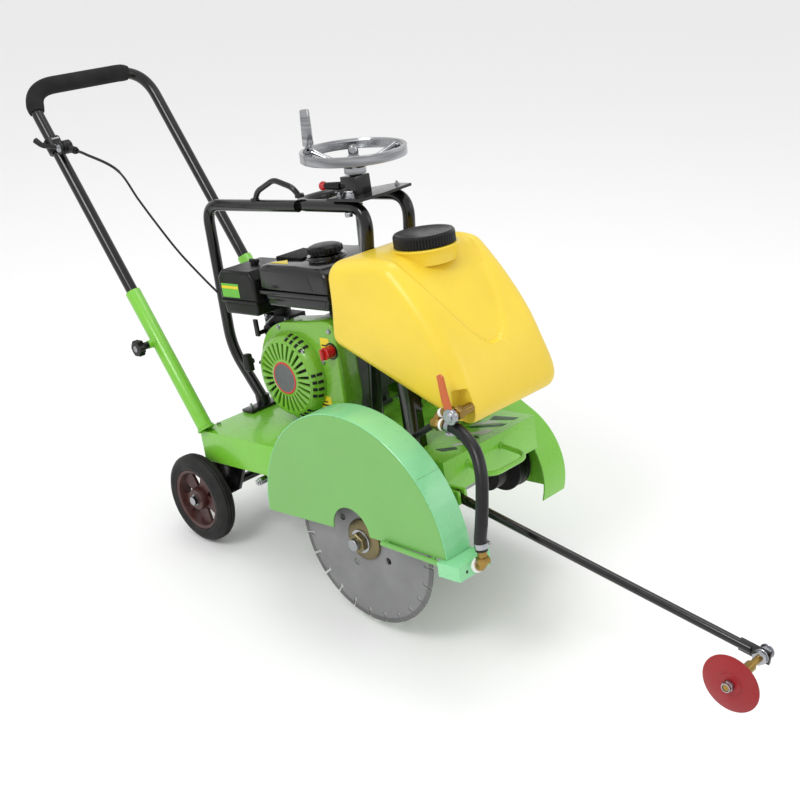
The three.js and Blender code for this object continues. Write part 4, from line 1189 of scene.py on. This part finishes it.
def make_deck():
    from_cad("deck", LIME, 1.6)
    bail = places((133.4, 170, 114), (182, 162, 104), (196, 178, 102), (196, 258, 102), (182, 274, 104),
                  (133.4, 268, 114))
    along_path(rounded(bail, 12, 8), 5)
    for p in (bail[0], bail[-1]):
        ring_of(p + X * 1.2, X, 5.6, 1.8, 24, 8)
    piece("bail_bar", LIME, "front_bail")
    make_deck_print()
    for x, y in ((-500, 60), (-500, 340), (-290, 60), (-230, 350)):
        bolt(at(x, y, DECK_TOP), Z, 5)
    piece("deck_bolts", BRIGHT)
    bolt(at(-322, 12, 55), -Y, 8, 3)
    rod(at(-322, 10, 55), at(-322, 30, 55), 8)
    piece("pivot_bolt", BRIGHT)
    prism([(-252, 28), (-243, 96), (-200, 84), (-210, 16)], 35, 38, 1.2)
    piece("splash_flap", RUBBER)


# ---- room ----------------------------------------------------------------------------------
FLOOR_GREY = 246.987  # 0.93 in linear light


def area_light(name, place, target, size, power):
    data = bpy.data.lights.new(name, "AREA")
    data.size = size
    data.energy = power
    lamp = bpy.data.objects.new(name, data)
    lamp.location = place
    lamp.rotation_mode = "QUATERNION"
    lamp.rotation_quaternion = (Vector(target) - Vector(place)).to_track_quat("-Z", "Y")
    bpy.context.scene.collection.objects.link(lamp)


def make_floor():
    bm = bmesh.new()
    bm.faces.new([bm.verts.new((x, y, 0)) for x, y in ((-40, -40), (40, -40), (40, 40), (-40, 40))])
    mesh = bpy.data.meshes.new("floor")
    bm.to_mesh(mesh)
    bm.free()
    mesh.materials.append(surface("pale_floor", (FLOOR_GREY,) * 3, 0.7, grain=0.02, tone=0.0))
    floor = bpy.data.objects.new("floor", mesh)
    bpy.context.scene.collection.objects.link(floor)


def make_lights():
    world = bpy.data.worlds.new("studio")
    world.use_nodes = True
    background = world.node_tree.nodes["Background"]
    background.inputs["Color"].default_value = (1, 1, 1, 1)
    background.inputs["Strength"].default_value = 0.88
    scene = bpy.context.scene
    scene.world = world
    area_light("key", (0.2, -2.6, 3.2), (0, 0, 0.4), 1.2, 46)
    area_light("top", (-0.4, 0.6, 3.4), (0, 0, 0.3), 1.6, 20)
    area_light("rim", (2.6, 1.6, 2.0), (0.2, 0, 0.4), 1.2, 8)
    scene.view_settings.view_transform = "Standard"
    scene.view_settings.exposure = 0.0


make_camera()
make_hose()
make_cable()
for place in HANDLE_SIDES:
    make_socket(*place)
    make_star_knob(*place)
make_handlebar()
make_throttle()
make_rear_leg()
make_front_hoop()
make_screw_housing()
make_screw()
make_handwheel()
make_lock_lever()
from_cad("lift_nut", STEEL, 0.8)
from_cad("front_arm", BLACK)
from_cad("rear_axle", BLACK)
make_front_wheel("right", 152)
make_front_wheel("left", 226)
make_rear_wheel("right", -8, -1)
make_rear_wheel("left", 402, 1)
from_cad("engine_block", ALLOY, 1.2)
make_blower()
make_recoil()
make_fuel_tank()
make_air_filter()
make_carburettor()
make_muffler()
make_switch()
make_stickers()
make_drive()
make_belt_cover()
make_blade()
make_guard()
make_water_block()
make_water_tank()
make_tank_cap()
make_valve()
make_guide()
make_deck()
make_floor()
make_lights()
